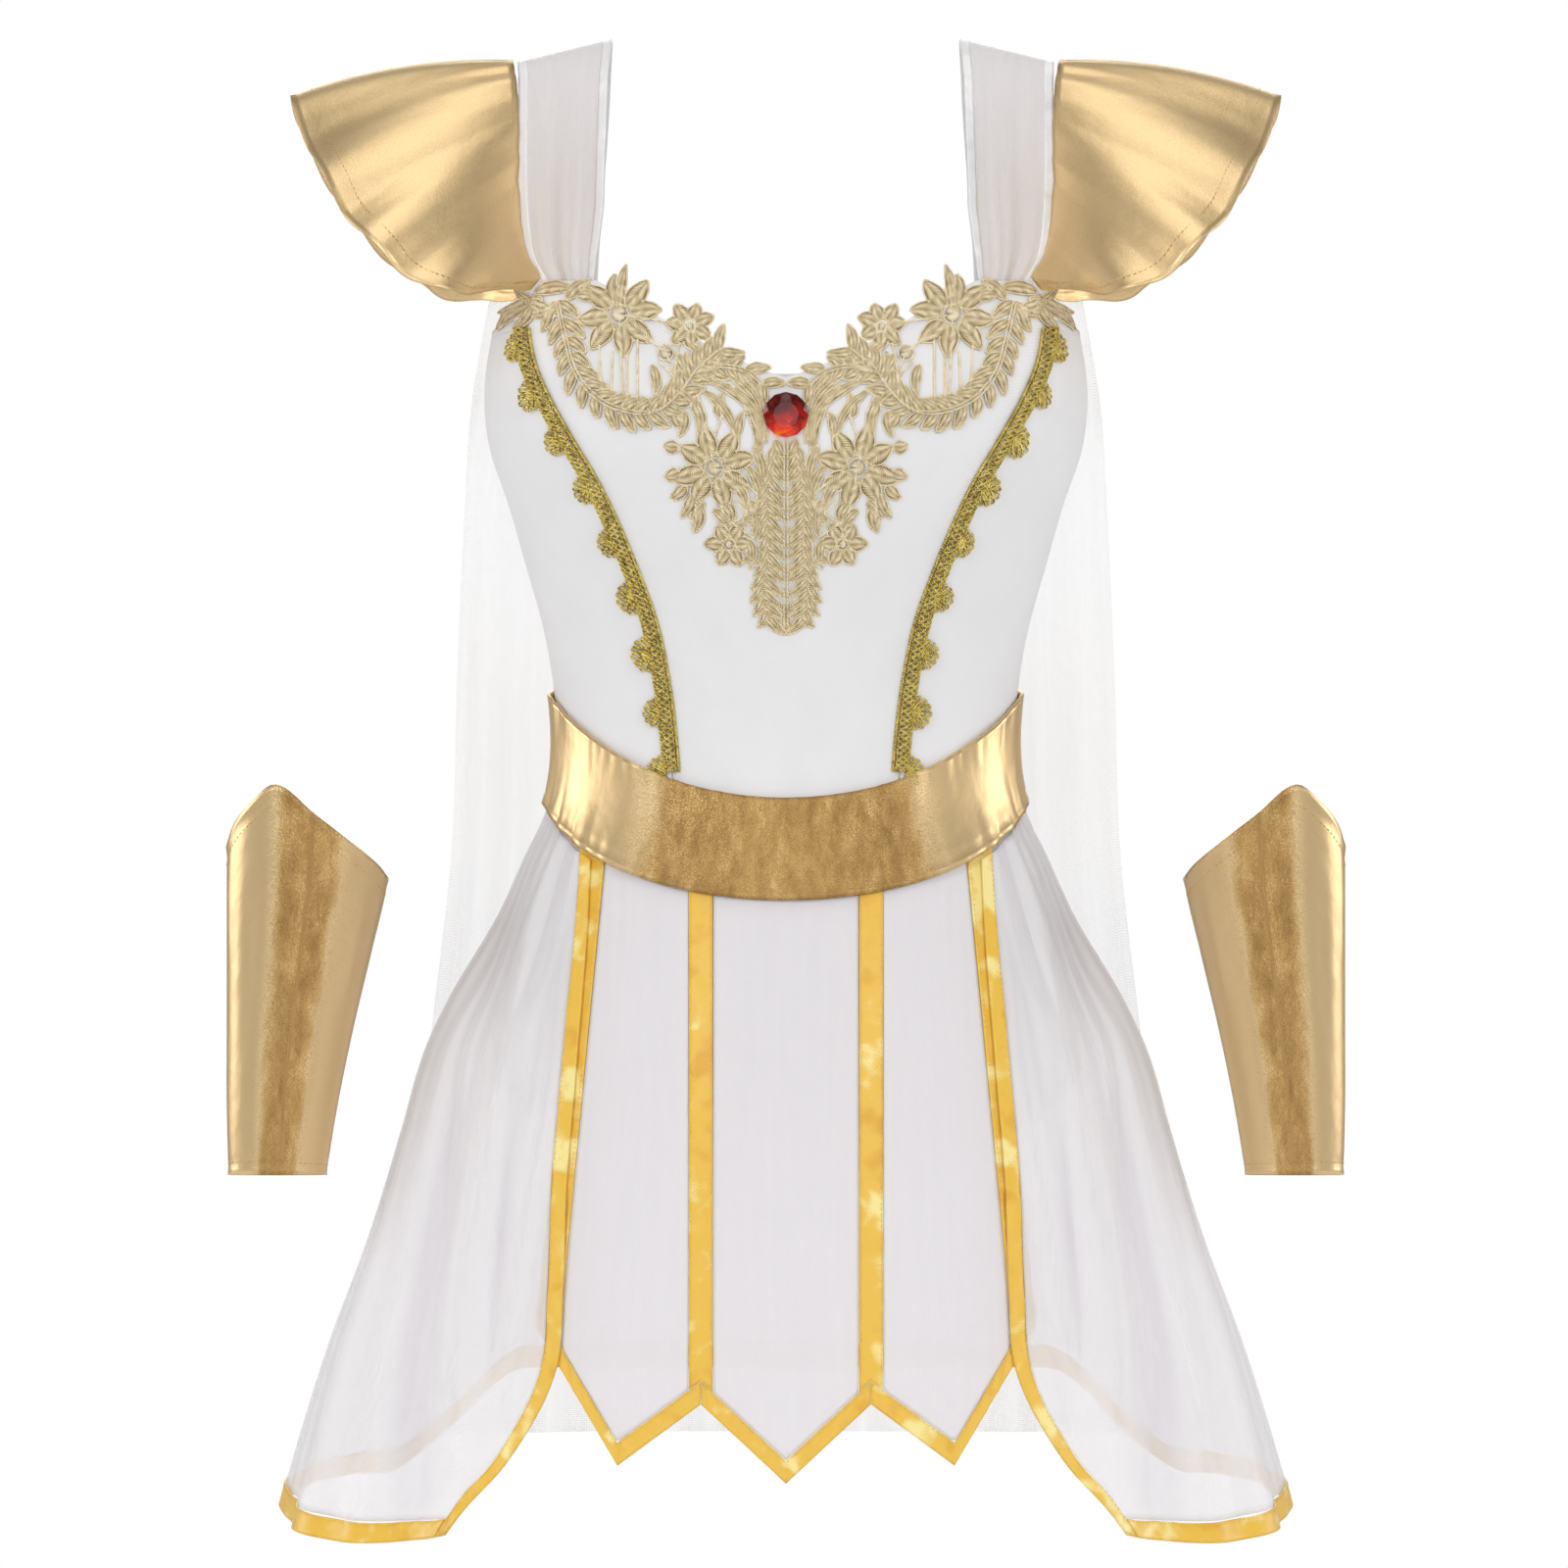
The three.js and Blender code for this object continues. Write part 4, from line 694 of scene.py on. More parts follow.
# Shoulder cap, from its low front end over the shoulder: inner x, y, z and outer x, y, z
capRows = [
    (141, -48, -135, 147, -53, -141), (149, -44, -121, 170, -84, -143), (153, -40, -101, 191, -106, -145),
    (154, -38, -81, 214, -111, -136), (154, -35, -62, 236, -104, -118), (154, -30, -44, 254, -86, -96),
    (154.5, -20, -25, 268, -58, -72), (156, -9, -14, 279, -26, -48), (157, 2, -10, 284, 6, -32),
    (157, 14, -16, 280, 36, -48), (156, 26, -27, 268, 64, -73), (156, 36, -44, 252, 88, -98),
    (156, 43, -63, 233, 104, -120), (156, 49, -85, 212, 110, -137), (155, 55, -106, 191, 106, -146),
    (153, 60, -124, 172, 90, -146), (151, 63, -140, 157, 71, -146),
]
capShape = {"bulge": 7, "flutes": 9, "fluteRise": 3.2, "armhole": -150, "hem": 7, "hemGroove": 0.5}
capPath = withShare(capRows)


def capCentre(points):
    return np.stack([points[..., 0], 0 * points[..., 0], 0 * points[..., 0] + capShape["armhole"]], -1)


def capBase(s, t):
    return edgePoint(capPath, t, s)


def cap(s, t):
    normal = outward(capBase, np.clip(s, 0.002, 0.998), np.clip(t, 0.002, 0.998), capCentre)
    ends = np.sin(np.clip(s, 0, 1) * np.pi) ** 0.5
    flute = capShape["fluteRise"] * np.sin(s * capShape["flutes"] * 2 * np.pi) * t * t
    return capBase(s, t) + normal * ((capShape["bulge"] * 4 * t * (1 - t) + flute) * ends)[..., None]


# Lower bodysuit: height, half width, depth in front, behind, half width between the leg openings
bodysuitRows = [
    (-440, 134, 97, 97, 134), (-489, 150, 106, 110, 150), (-540, 164, 110, 118, 164),
    (-590, 171, 108, 119, 170), (-622, 170, 98, 112, 136), (-648, 160, 76, 92, 88),
    (-668, 140, 42, 52, 46), (-674, 130, 24, 28, 34),
]
bodysuit = {"ease": 0.6, "blend": 0.25, "turn": 1.567, "gusset": -675.7, "gussetDip": 3}


def bodysuitHalf(side):
    def surface(s, t):
        level = lerp(belt["sideBottom"] + seamGap, bodysuitRows[-1][0], t)
        narrow = smooth(bodysuitRows, 4, level) / smooth(bodysuitRows, 1, level)
        turn = s * np.minimum(np.arcsin(np.clip(narrow, 0, 1)), bodysuit["turn"])
        facing = np.cos(turn)
        drop = belt["dropBottom"] * np.abs(facing) ** belt["curve"] * (1 - t) ** 4 if side < 0 else 0
        height = level - drop
        leave = np.clip(t / bodysuit["blend"], 0, 1)
        column = 2 if side < 0 else 3
        half = lerp(smooth(formRows, 1, height) - bodysuit["ease"], smooth(bodysuitRows, 1, level), leave)
        depth = lerp(smooth(formRows, column, height) - bodysuit["ease"],
                     smooth(bodysuitRows, column, level), leave)
        return np.stack([half * np.sin(turn), side * depth * facing, height], -1)
    return surface


def gusset(s, t):
    last = bodysuitRows[-1]
    depth = lerp(0.6 - last[2], last[3] - 0.6, t)
    return np.stack([s * last[4], depth, bodysuit["gusset"] - bodysuit["gussetDip"] * np.sin(t * np.pi)], -1)


# Skirt
skirt = {"seam": 48.4, "centreTip": -823, "notch": -778, "gorePeak": 96, "goreTip": -813,
         "outerTop": 116.4, "outerBottom": 142, "outerTopHeight": -466, "outerHem": -735,
         "ribbon": 13.5, "hemRibbon": 13, "edgeRibbon": 9, "panelLift": 3.2, "panelLiftFade": 30,
         "backHem": -822, "backRise": 60, "riseStart": 126, "riseEnd": 146, "topHeight": -480}
# Front edge of the side panel: share, distance from the centre, height
panelEdgeRows = [
    (0, 108.4, -467), (0.13, 111, -516), (0.33, 117.6, -594), (0.47, 122.4, -652), (0.61, 124.5, -710),
    (0.74, 129, -760), (0.88, 154, -809), (1, 188, -853),
]
# Hem of the side panel: share, angle, height
panelHemRows = [(0, 42, -853), (0.15, 47, -856), (0.38, 62, -858), (0.6, 84, -845), (0.75, 97, -834),
                (1, 118, -822)]


def skirtTop(angle):
    return beltBottom(angle) + belt["tuck"]


def frontTop(across):
    return skirtTop(frontAngle(across, skirt["topHeight"]))


def panelTop(angle):
    return beltBottom(angle) - 3 * seamGap


def goreHem(across):
    def slope(tipAcross, tip, endAcross, end):
        return lerp(tip, end, np.clip((across - tipAcross) / (endAcross - tipAcross), 0, 1))
    seam, peak = skirt["seam"], skirt["gorePeak"]
    inner = slope(0, skirt["centreTip"], seam, skirt["notch"])
    middle = slope(peak, skirt["goreTip"], seam, skirt["notch"])
    outer = slope(peak, skirt["goreTip"], skirt["outerBottom"], skirt["outerHem"])
    return np.where(across < seam, inner, np.where(across < peak, middle, outer))


def outerAcross(height):
    share = (skirt["outerTopHeight"] - height) / (skirt["outerTopHeight"] - skirt["outerHem"])
    return lerp(skirt["outerTop"], skirt["outerBottom"], np.clip(share, 0, 1))


def goreStrip(innerAcross, outerEdge, aboveHem):
    def surface(s, t):
        def reach(height):
            return lerp(innerAcross(height), outerEdge(height), s)
        bottom = goreHem(reach(goreHem(reach(skirt["outerHem"])) + aboveHem)) + aboveHem
        height = lerp(frontTop(reach(skirt["outerTopHeight"])), bottom, t)
        return frontPoint(-reach(height), height)
    return surface


hemTop = skirt["hemRibbon"] + seamGap


def ribbonInner(height):
    return skirt["seam"] - skirt["ribbon"] / 2 + 0 * height


def ribbonOuter(height):
    return skirt["seam"] + skirt["ribbon"] / 2 + 0 * height


def edgeInner(height):
    return outerAcross(height) - skirt["ribbon"]


def centreGore(s, t):
    across = s * (ribbonInner(0) - seamGap)
    return frontPoint(across, lerp(frontTop(across), goreHem(np.abs(across)) + hemTop, t))


def centreHem(s, t):
    across = s * (skirt["seam"] - seamGap / 2)
    bottom = goreHem(np.abs(across))
    return frontPoint(across, lerp(bottom + skirt["hemRibbon"], bottom, t))


sideGore = goreStrip(lambda h: ribbonOuter(h) + seamGap, lambda h: edgeInner(h) - seamGap, hemTop)
seamRibbon = goreStrip(ribbonInner, ribbonOuter, hemTop)
goreEdgeRibbon = goreStrip(edgeInner, outerAcross, hemTop)


def goreHemRibbon(s, t):
    across = lerp(skirt["seam"] + seamGap / 2, skirt["outerBottom"], s)
    bottom = goreHem(across)
    return frontPoint(-across, lerp(bottom + skirt["hemRibbon"], bottom, t))


def panelPatch(s, t):
    def edgeAt(along):
        height = smooth(panelEdgeRows, 2, along)
        return frontAngle(smooth(panelEdgeRows, 1, along), height), height
    edge, corner, start = edgeAt(t), edgeAt(1), edgeAt(0)
    topAngle = lerp(start[0], backSeam, s)

    def coons(left, right, top, bottom, topLeft, topRight, bottomLeft, bottomRight):
        return (lerp(left, right, s) + lerp(top, bottom, t)
                - lerp(lerp(topLeft, topRight, s), lerp(bottomLeft, bottomRight, s), t))
    angle = coons(edge[0], backSeam, topAngle,
                  smooth(panelHemRows, 1, s) + (corner[0] - panelHemRows[0][1]) * (1 - s),
                  start[0], backSeam, corner[0], backSeam)
    height = coons(edge[1], lerp(panelTop(backSeam), skirt["backHem"], t), panelTop(topAngle),
                   smooth(panelHemRows, 2, s), start[1], panelTop(backSeam), corner[1], skirt["backHem"])
    return angle, height


def panelPoint(s, t):
    angle, height = panelPatch(s, t)
    front = panelPatch(0 * s, t)[0]
    fade = np.clip(1 - (angle - front) / skirt["panelLiftFade"], 0, 1)
    points = formPoint(-angle, height)
    out = unit(points * [1, 1, 0])
    return points + out * (skirt["panelLift"] * fade * fade * (3 - 2 * fade))[..., None]


def edgeShare(t, width):
    t = np.asarray(t, float)
    return width / np.linalg.norm(panelPoint(0 * t, t) - panelPoint(0 * t + 0.1, t), axis=-1) / 10


def hemShare(s, height):
    s = np.asarray(s, float)
    return height / np.linalg.norm(panelPoint(s, 0 * s + 1) - panelPoint(s, 0 * s + 0.9), axis=-1) / 10


backSeamTrim = 0.0015


def sidePanel(s, t):
    row = t * (1 - hemShare(s, skirt["hemRibbon"] + 3 * seamGap))
    start = edgeShare(row, skirt["edgeRibbon"] + 2 * seamGap)
    return panelPoint(lerp(start, 1 - backSeamTrim, s), row)


def panelEdgeRibbon(s, t):
    return panelPoint(s * edgeShare(t, skirt["edgeRibbon"]), t)


def panelHemRibbon(s, t):
    along = lerp(float(edgeShare(1.0, skirt["edgeRibbon"] + seamGap)), 1 - backSeamTrim, s)
    return panelPoint(along, lerp(1 - hemShare(along, skirt["hemRibbon"]), 1, t))


def skirtBackAngle(s):
    angle = lerp(backSeam + 0.15, 360 - backSeam - 0.15, s)
    return np.where(angle > 180, angle - 360, angle)


def backHemAt(angle):
    # the hem rises in the middle of the back, as the front's does
    return skirt["backHem"] + skirt["backRise"] * ramp(np.abs(angle), skirt["riseStart"], skirt["riseEnd"])


def backSkirt(s, t):
    angle = skirtBackAngle(s)
    return formPoint(angle, lerp(skirtTop(angle), backHemAt(angle) + hemTop, t))


def backHemRibbon(s, t):
    angle = skirtBackAngle(s)
    return formPoint(angle, lerp(backHemAt(angle) + skirt["hemRibbon"], backHemAt(angle), t))


# Cape: height, half width, depth at the centre, depth at the edge
capeRows = [
    (-8, 152, 96, 42), (-60, 157, 106, 72), (-100, 162, 109, 90), (-145, 171, 110, 102),
    (-190, 179, 105.7, 96), (-204, 181, 106.4, 93), (-228, 183, 110.5, 88), (-363, 189, 122, 72),
    (-462, 192, 140, 70), (-560, 203, 164, 84), (-640, 212, 180, 104), (-720, 218, 192, 122),
    (-810, 224, 206, 140),
]
capeTopRows = [(0, -204), (0.4, -202), (0.6, -190), (0.72, -136), (0.78, -103), (0.84, -78),
               (0.9, -45), (0.96, -18), (1, -14)]
capeShape = {"hem": -800, "flutes": 5, "rise": 4, "clear": 1.2}


def cape(s, t):
    top = smooth(capeTopRows, 1, np.abs(s))
    height = lerp(top, capeShape["hem"], t)
    wave = capeShape["rise"] * t * (1 - np.cos(s * capeShape["flutes"] * 2 * np.pi)) * 0.5
    depth = lerp(smooth(capeRows, 2, height), smooth(capeRows, 3, height), s * s) + wave
    return np.stack([s * smooth(capeRows, 1, height), depth + capeShape["clear"] * ramp(t, 0.05, 0.2), height], -1)


def capeCentre(points):
    return np.stack([points[..., 0] * 0.5, 0 * points[..., 0] - 200, points[..., 2]], -1)


# Gauntlet: height, outer and inner side; its pointed top edge by share across
gauntletRows = [(-420, 321, 222), (-478, 321, 228), (-524, 321, 238.5), (-564, 321, 248),
                (-608, 321, 257), (-650, 320, 264)]
gauntletTopRows = [(-1, -461), (-0.9, -447), (-0.72, -436), (-0.42, -425), (0.05, -442), (0.5, -458),
                   (0.85, -471), (1, -479)]
gauntletShape = {"bottom": -649, "backDip": 6, "depth": 0.74, "hem": 7}


def gauntlet(s, t):
    angle = s * 2 * np.pi
    share = -np.sin(angle)
    back = np.where(np.cos(angle) < 0, -gauntletShape["backDip"] * np.cos(angle) * np.abs(np.cos(angle)), 0)
    height = lerp(smooth(gauntletTopRows, 1, share) - np.abs(back), gauntletShape["bottom"], t)
    outside, inside = smooth(gauntletRows, 1, height), smooth(gauntletRows, 2, height)
    half, middle = (outside - inside) / 2, -(outside + inside) / 2
    return np.stack([middle + share * half, -np.cos(angle) * half * gauntletShape["depth"], height], -1)


def gauntletCentre(points):
    middle = (smooth(gauntletRows, 1, points[..., 2]) + smooth(gauntletRows, 2, points[..., 2])) / 2
    return np.stack([middle * np.sign(points[..., 0]), 0 * middle, points[..., 2]], -1)


def mirrored(surface):
    return lambda s, t: surface(s, t) * [-1, 1, 1]


def steps(count, low=0.0, high=1.0):
    return np.linspace(low, high, count + 1)


# Creases: soft troughs and ridges seen from the front or the back, in millimetres
def creases(rows):
    def relief(s, t, points):
        lift = np.zeros(s.shape)
        x, z = np.abs(points[..., 0]), points[..., 2]
        for fromX, fromZ, toX, toZ, rise, width in rows:
            lengthSquared = (toX - fromX) ** 2 + (toZ - fromZ) ** 2
            along = ((x - fromX) * (toX - fromX) + (z - fromZ) * (toZ - fromZ)) / lengthSquared
            held = np.clip(along, 0, 1)
            away = np.hypot(x - lerp(fromX, toX, held), z - lerp(fromZ, toZ, held)) / width
            lift += rise * np.exp(-away ** 2) * np.sin(np.pi * np.clip(lerp(0.1, 0.9, along), 0, 1)) ** 1.5
        return lift
    return relief


def gathered(seed, count, rise, reach, width):
    # gathers from the top edge down, uneven in place, depth and length; s runs from -1 to 1 or 0 to 1
    draw = np.random.default_rng(seed)
    places = (np.arange(count) + draw.uniform(-0.32, 0.32, count)) / (count - 1)
    rises = rise * draw.uniform(0.45, 1.0, count) * draw.choice([-1, 1, 1], count)
    reaches = reach * draw.uniform(0.5, 1.2, count)
    leans = draw.uniform(-0.02, 0.02, count)

    def relief(s, t, points):
        share = (s - s.min()) / (s.max() - s.min())
        lift = np.zeros(s.shape)
        for at, height, far, lean in zip(places, rises, reaches, leans):
            lift += height * np.exp(-((share - at - lean * t) / width) ** 2) * np.exp(-(t / far) ** 2)
        return lift
    return relief


def together(*reliefs):
    return lambda s, t, points: sum(relief(s, t, points) for relief in reliefs)


def edgeRoll(rise, width, groove, grooveAt):
    # a turned edge: thicker at the rim, with the groove of its stitching
    def relief(s, t, points):
        length = np.linalg.norm(np.diff(points, axis=0), axis=-1).sum(0)[None, :]
        top, bottom = t * length, (1 - t) * length
        return sum(rise * np.exp(-(d / width) ** 2) - groove * np.exp(-((d - grooveAt) / 1.1) ** 2)
                   for d in (top, bottom))
    return relief


def topRoll(rise, width, groove, grooveAt):
    def relief(s, t, points):
        length = np.linalg.norm(np.diff(points, axis=0), axis=-1).sum(0)[None, :]
        d = t * length
        return rise * np.exp(-(d / width) ** 2) - groove * np.exp(-((d - grooveAt) / 1.1) ** 2)
    return relief


def pair(name, surface, columns, rows, material, slot, held, restsOn=(), centre=bodyAxis, relief=None, **sizes):
    # a piece for the viewer's left and its mirror image
    made = []
    for side, shape in (("left", surface), ("right", mirrored(surface))):
        piece = clothWall(f"cloth_{name}_{side}", shape, columns, rows, material,
                          centre=(lambda p, k=side: centre(p) if k == "left" else centre(p * [-1, 1, 1]) * [-1, 1, 1]),
                          relief=relief, **sizes)
        made.append(place(piece, [f"{name}_{side}"], held))
    return made


# Bodice and lower bodysuit
bodiceCreases = [
    (120, -215, 60, -228, -0.5, 7), (132, -190, 96, -214, -0.45, 6), (66, -330, 20, -352, -0.5, 6),
    (64, -352, 30, -378, 0.5, 6), (84, -300, 40, -316, -0.35, 7), (40, -395, 8, -412, -0.45, 6),
    (30, -250, 6, -262, -0.35, 8), (148, -192, 150, -230, -0.5, 6), (158, -214, 118, -240, 0.4, 6),
    (140, -300, 110, -330, -0.6, 7), (138, -330, 90, -356, -0.6, 6), (134, -352, 96, -372, 0.6, 6),
]
backCreases = [
    (150, -200, 60, -222, -0.6, 8), (120, -236, 30, -246, -0.5, 9), (135, -290, 40, -306, -0.7, 8),
    (130, -320, 20, -338, 0.7, 9), (128, -350, 60, -362, -0.7, 6), (12, -210, 10, -350, 0.4, 10),
]
knitWall = {"lift": 0.1, "thickness": 1.0}
neckRoll = topRoll(0.45, 2.2, 0.3, 5)
bodice = clothWall("cloth_bodice_front", bodiceFront, steps(84, -1, 1), steps(66), knit,
                   relief=together(creases(bodiceCreases), neckRoll), **knitWall)
place(bodice, ["bodice_front"], "stretched")
pair("bodice_side", bodiceSide, steps(36), steps(64), knit, "white_knit", "stretched", ["cloth_bodice_front"],
     relief=together(creases(bodiceCreases), neckRoll), **knitWall)
bodiceRear = clothWall("cloth_bodice_back", bodiceBack, steps(90), steps(40), knit,
                       relief=together(creases(backCreases), neckRoll), **knitWall)
place(bodiceRear, ["bodice_back"], "stretched")
suitWall = {"lift": -2.1, "thickness": 1.1}
for side, name in ((-1, "front"), (1, "back")):
    half = clothWall(f"cloth_bodysuit_{name}", bodysuitHalf(side), steps(50, -1, 1), steps(36), knit, **suitWall)
    place(half, [f"bodysuit_{name}"], "stretched")
crotch = clothWall("cloth_gusset", gusset, steps(14, -1, 1), steps(16), knit,
                   centre=lambda p: p * 0 + np.array([0, 0, -600.0]), **suitWall)
place(crotch, ["gusset"], "stretched")
print("stage: bodice and bodysuit made")

# Belt: crackled in the middle, smooth to the sides, with gathers at its sewn edges
beltShape = {"lift": 2.3, "thickness": 1.9, "roll": 0.35, "gathers": 46, "gatherRise": 0.55, "crackleReach": 0.42}


def beltRelief(seed):
    top = gathered(seed, beltShape["gathers"], beltShape["gatherRise"], 0.3, 0.007)
    bottom = gathered(seed + 1, beltShape["gathers"] - 8, beltShape["gatherRise"], 0.36, 0.008)
    wide = gathered(seed + 2, 9, 0.9, 1.4, 0.035)

    def relief(s, t, points):
        return (top(s, t, points) + bottom(s, 1 - t, points) + wide(s, t, points)
                + beltShape["roll"] * np.exp(-((1 - t) / 0.05) ** 2) + 0.2 * np.exp(-(t / 0.04) ** 2)
                - 0.3 * np.exp(-((t - 0.91) / 0.02) ** 2))
    return relief


beltWall = {"lift": beltShape["lift"], "thickness": beltShape["thickness"]}
for name, surface, columns, seed in (("front", beltFront, steps(220, -1, 1), 11), ("back", beltBack, steps(170), 21)):
    band = clothWall(f"cloth_belt_{name}", surface, columns, steps(22), lame, relief=beltRelief(seed), **beltWall)
    across = np.tile(np.tile(np.abs(np.linspace(-1, 1, len(columns))), 23), 2)
    worn = 1 - ramp(across, beltShape["crackleReach"] - 0.14, beltShape["crackleReach"] + 0.06)
    addValue(band, "crackle", lerp(0.08, 1, worn))
    place(band, [f"belt_{name}"], "stretched")
print("stage: belt made")

# Straps, with narrow bindings along both edges and gathers where they meet the bodice
strapShape = {"binding": 0.085, "gathers": 7, "gatherRise": 1.5}


def strapRelief(s, t, points):
    flutes = gathered(5, strapShape["gathers"], strapShape["gatherRise"], 0.3, 0.06)
    behind = gathered(6, strapShape["gathers"], strapShape["gatherRise"], 0.24, 0.06)
    inside = np.sin(np.pi * np.clip(s, 0, 1)) ** 0.5
    sag = -2.0 * np.sin(np.pi * np.clip(s, 0, 1)) * ramp(t, 0.1, 0.3) * (1 - ramp(t, 0.35, 0.5))
    return (flutes(s, t, points) + behind(s, 1 - t, points)) * inside + sag


leftStrap = mirrored(strap)
leftStrapCentre = lambda points: strapCentre(points) * [-1, 1, 1]
pair("strap", leftStrap, steps(24), steps(120), strapVoile, "sheer_voile", "stretched",
     ["cloth_bodice_front", "cloth_bodice_back"], centre=leftStrapCentre, relief=strapRelief,
     lift=0.2, thickness=0.5)
for side, shape in (("left", leftStrap), ("right", strap)):
    middle = strapCentre if side == "right" else leftStrapCentre
    for edge, low, high in (("inner", -0.01, strapShape["binding"]), ("outer", 1 - strapShape["binding"], 1.01)):
        binding = clothWall(f"binding_{edge}_{side}", shape, np.linspace(low, high, 5), steps(110), whiteSatin,
                            centre=middle, relief=lambda s, t, p: 0.15 * np.sin(t * 90), lift=-0.3, thickness=1.5)
        place(binding, [], "stretched")

# Shoulder caps


def capRelief(s, t, points):
    length = np.linalg.norm(np.diff(points, axis=0), axis=-1).sum(0)[None, :]
    fromHem = (1 - t) * length
    fine = gathered(31, 30, 0.9, 0.35, 0.012)(s, t, points)
    small = gathered(33, 24, 0.7, 0.6, 0.01)(s, 1 - t, points)
    groove = -capShape["hemGroove"] * np.exp(-((fromHem - capShape["hem"]) / 1.0) ** 2)
    return (fine + small) * np.sin(np.pi * np.clip(s, 0, 1)) ** 0.4 + groove + 0.5 * np.exp(-(fromHem / 2) ** 2)


caps = pair("cap", mirrored(cap), steps(170), steps(28), lame, "gold_lame", "draped", ["strap"],
            centre=capCentre, relief=capRelief, lift=0.1, thickness=1.2)
for piece in caps:
    addValue(piece, "crackle", np.full(len(piece.data.vertices), 0.22))
print("stage: straps and caps made")

# Skirt, ribbon and cape
sheerWall = {"lift": 0.2, "thickness": 0.6}
ribbonWall = {"lift": 0.0, "thickness": 1.5}
gore = clothWall("cloth_centre_gore", centreGore, steps(36, -1, 1), steps(90), goreVoile, **sheerWall)
place(gore, ["centre_gore"], "hung")
pair("side_gore", sideGore, steps(30), steps(90), goreVoile, "sheer_voile", "hung", ["cloth_belt_front"], **sheerWall)
panelFolds = creases([(137, -464, 190, -765, 5.5, 7), (158, -480, 214, -770, -4, 9), (128, -560, 170, -790, 3, 6),
                      (176, -500, 238, -780, 3, 8), (112, -480, 132, -640, -2.5, 7)])
pair("side_panel", sidePanel, steps(104), steps(90), voile, "sheer_voile", "gathered", ["cloth_belt_front"],
     relief=panelFolds, **sheerWall)
rear = clothWall("cloth_back_skirt", backSkirt, steps(170), steps(84), voile, **sheerWall)
place(rear, ["back_skirt"], "gathered")


def ribbonRelief(seed, mitreAt=None):
    # a ribbon's slight waves along its length, its thicker selvedges and the fold of a mitred corner
    draw = np.random.default_rng(seed)
    waves = [(draw.uniform(4, 17), draw.uniform(0, 6.3), draw.uniform(0.05, 0.16)) for _ in range(5)]

    def relief(s, t, points):
        spanS = np.linalg.norm(np.diff(points, axis=1), axis=-1).sum(1).max()
        spanT = np.linalg.norm(np.diff(points, axis=0), axis=-1).sum(0).max()
        share = (s - s.min()) / (s.max() - s.min())
        long, short = (share, t) if spanS > spanT else (t, share)
        lift = sum(rise * np.sin(turns * 2 * np.pi * long + phase) for turns, phase, rise in waves)
        lift = lift * np.sin(np.pi * np.clip(short, 0, 1))
        lift = lift + 0.22 * (np.exp(-(short / 0.09) ** 2) + np.exp(-((1 - short) / 0.09) ** 2))
        if mitreAt is not None:
            lift = lift - 0.7 * np.exp(-((share - mitreAt) / 0.012) ** 2)
        return lift
    return relief


pair("seam_ribbon", seamRibbon, steps(8), steps(110), satin, "yellow_satin", "hung", ["side_gore"],
     relief=ribbonRelief(41), **ribbonWall)
pair("gore_edge_ribbon", goreEdgeRibbon, steps(8), steps(110), satin, "yellow_satin", "hung", ["side_gore"],
     relief=ribbonRelief(42), **ribbonWall)
pair("panel_edge_ribbon", panelEdgeRibbon, steps(8), steps(130), satin, "yellow_satin", "hung", ["side_panel"],
     relief=ribbonRelief(43), **ribbonWall)
pair("panel_hem_ribbon", panelHemRibbon, steps(150), steps(8), satin, "yellow_satin", "hung", ["side_panel"],
     relief=ribbonRelief(44), **ribbonWall)
hemPiece = clothWall("cloth_centre_hem_ribbon", centreHem, steps(72, -1, 1), steps(8), satin,
                     relief=ribbonRelief(45, 0.5), **ribbonWall)
place(hemPiece, ["centre_hem_ribbon"], "hung")
mitre = (skirt["gorePeak"] - skirt["seam"]) / (skirt["outerBottom"] - skirt["seam"])
goreColumns = np.concatenate([steps(36, 0, mitre), steps(26, mitre, 1)[1:]])
pair("gore_hem_ribbon", goreHemRibbon, goreColumns, steps(8), satin, "yellow_satin", "hung", ["side_gore"],
     relief=ribbonRelief(46, mitre), **ribbonWall)
backHemPiece = clothWall("cloth_back_hem_ribbon", backHemRibbon, steps(210), steps(8), satin,
                         relief=ribbonRelief(47), **ribbonWall)
place(backHemPiece, ["back_hem_ribbon"], "hung")


def capeRelief(s, t, points):
    soft = gathered(51, 17, 1.6, 1.3, 0.018)(s, 1 - t, points)
    return soft * ramp(t, 0.1, 0.5) * (1 - ramp(np.abs(s), 0.93, 1))


back = clothWall("cloth_cape", cape, steps(110, -1, 1), steps(80), capeVoile, centre=capeCentre,
                 relief=capeRelief, lift=0.2, thickness=0.6)
place(back, ["cape"], "hung")
print("stage: skirt, ribbon and cape made")

# Gauntlets


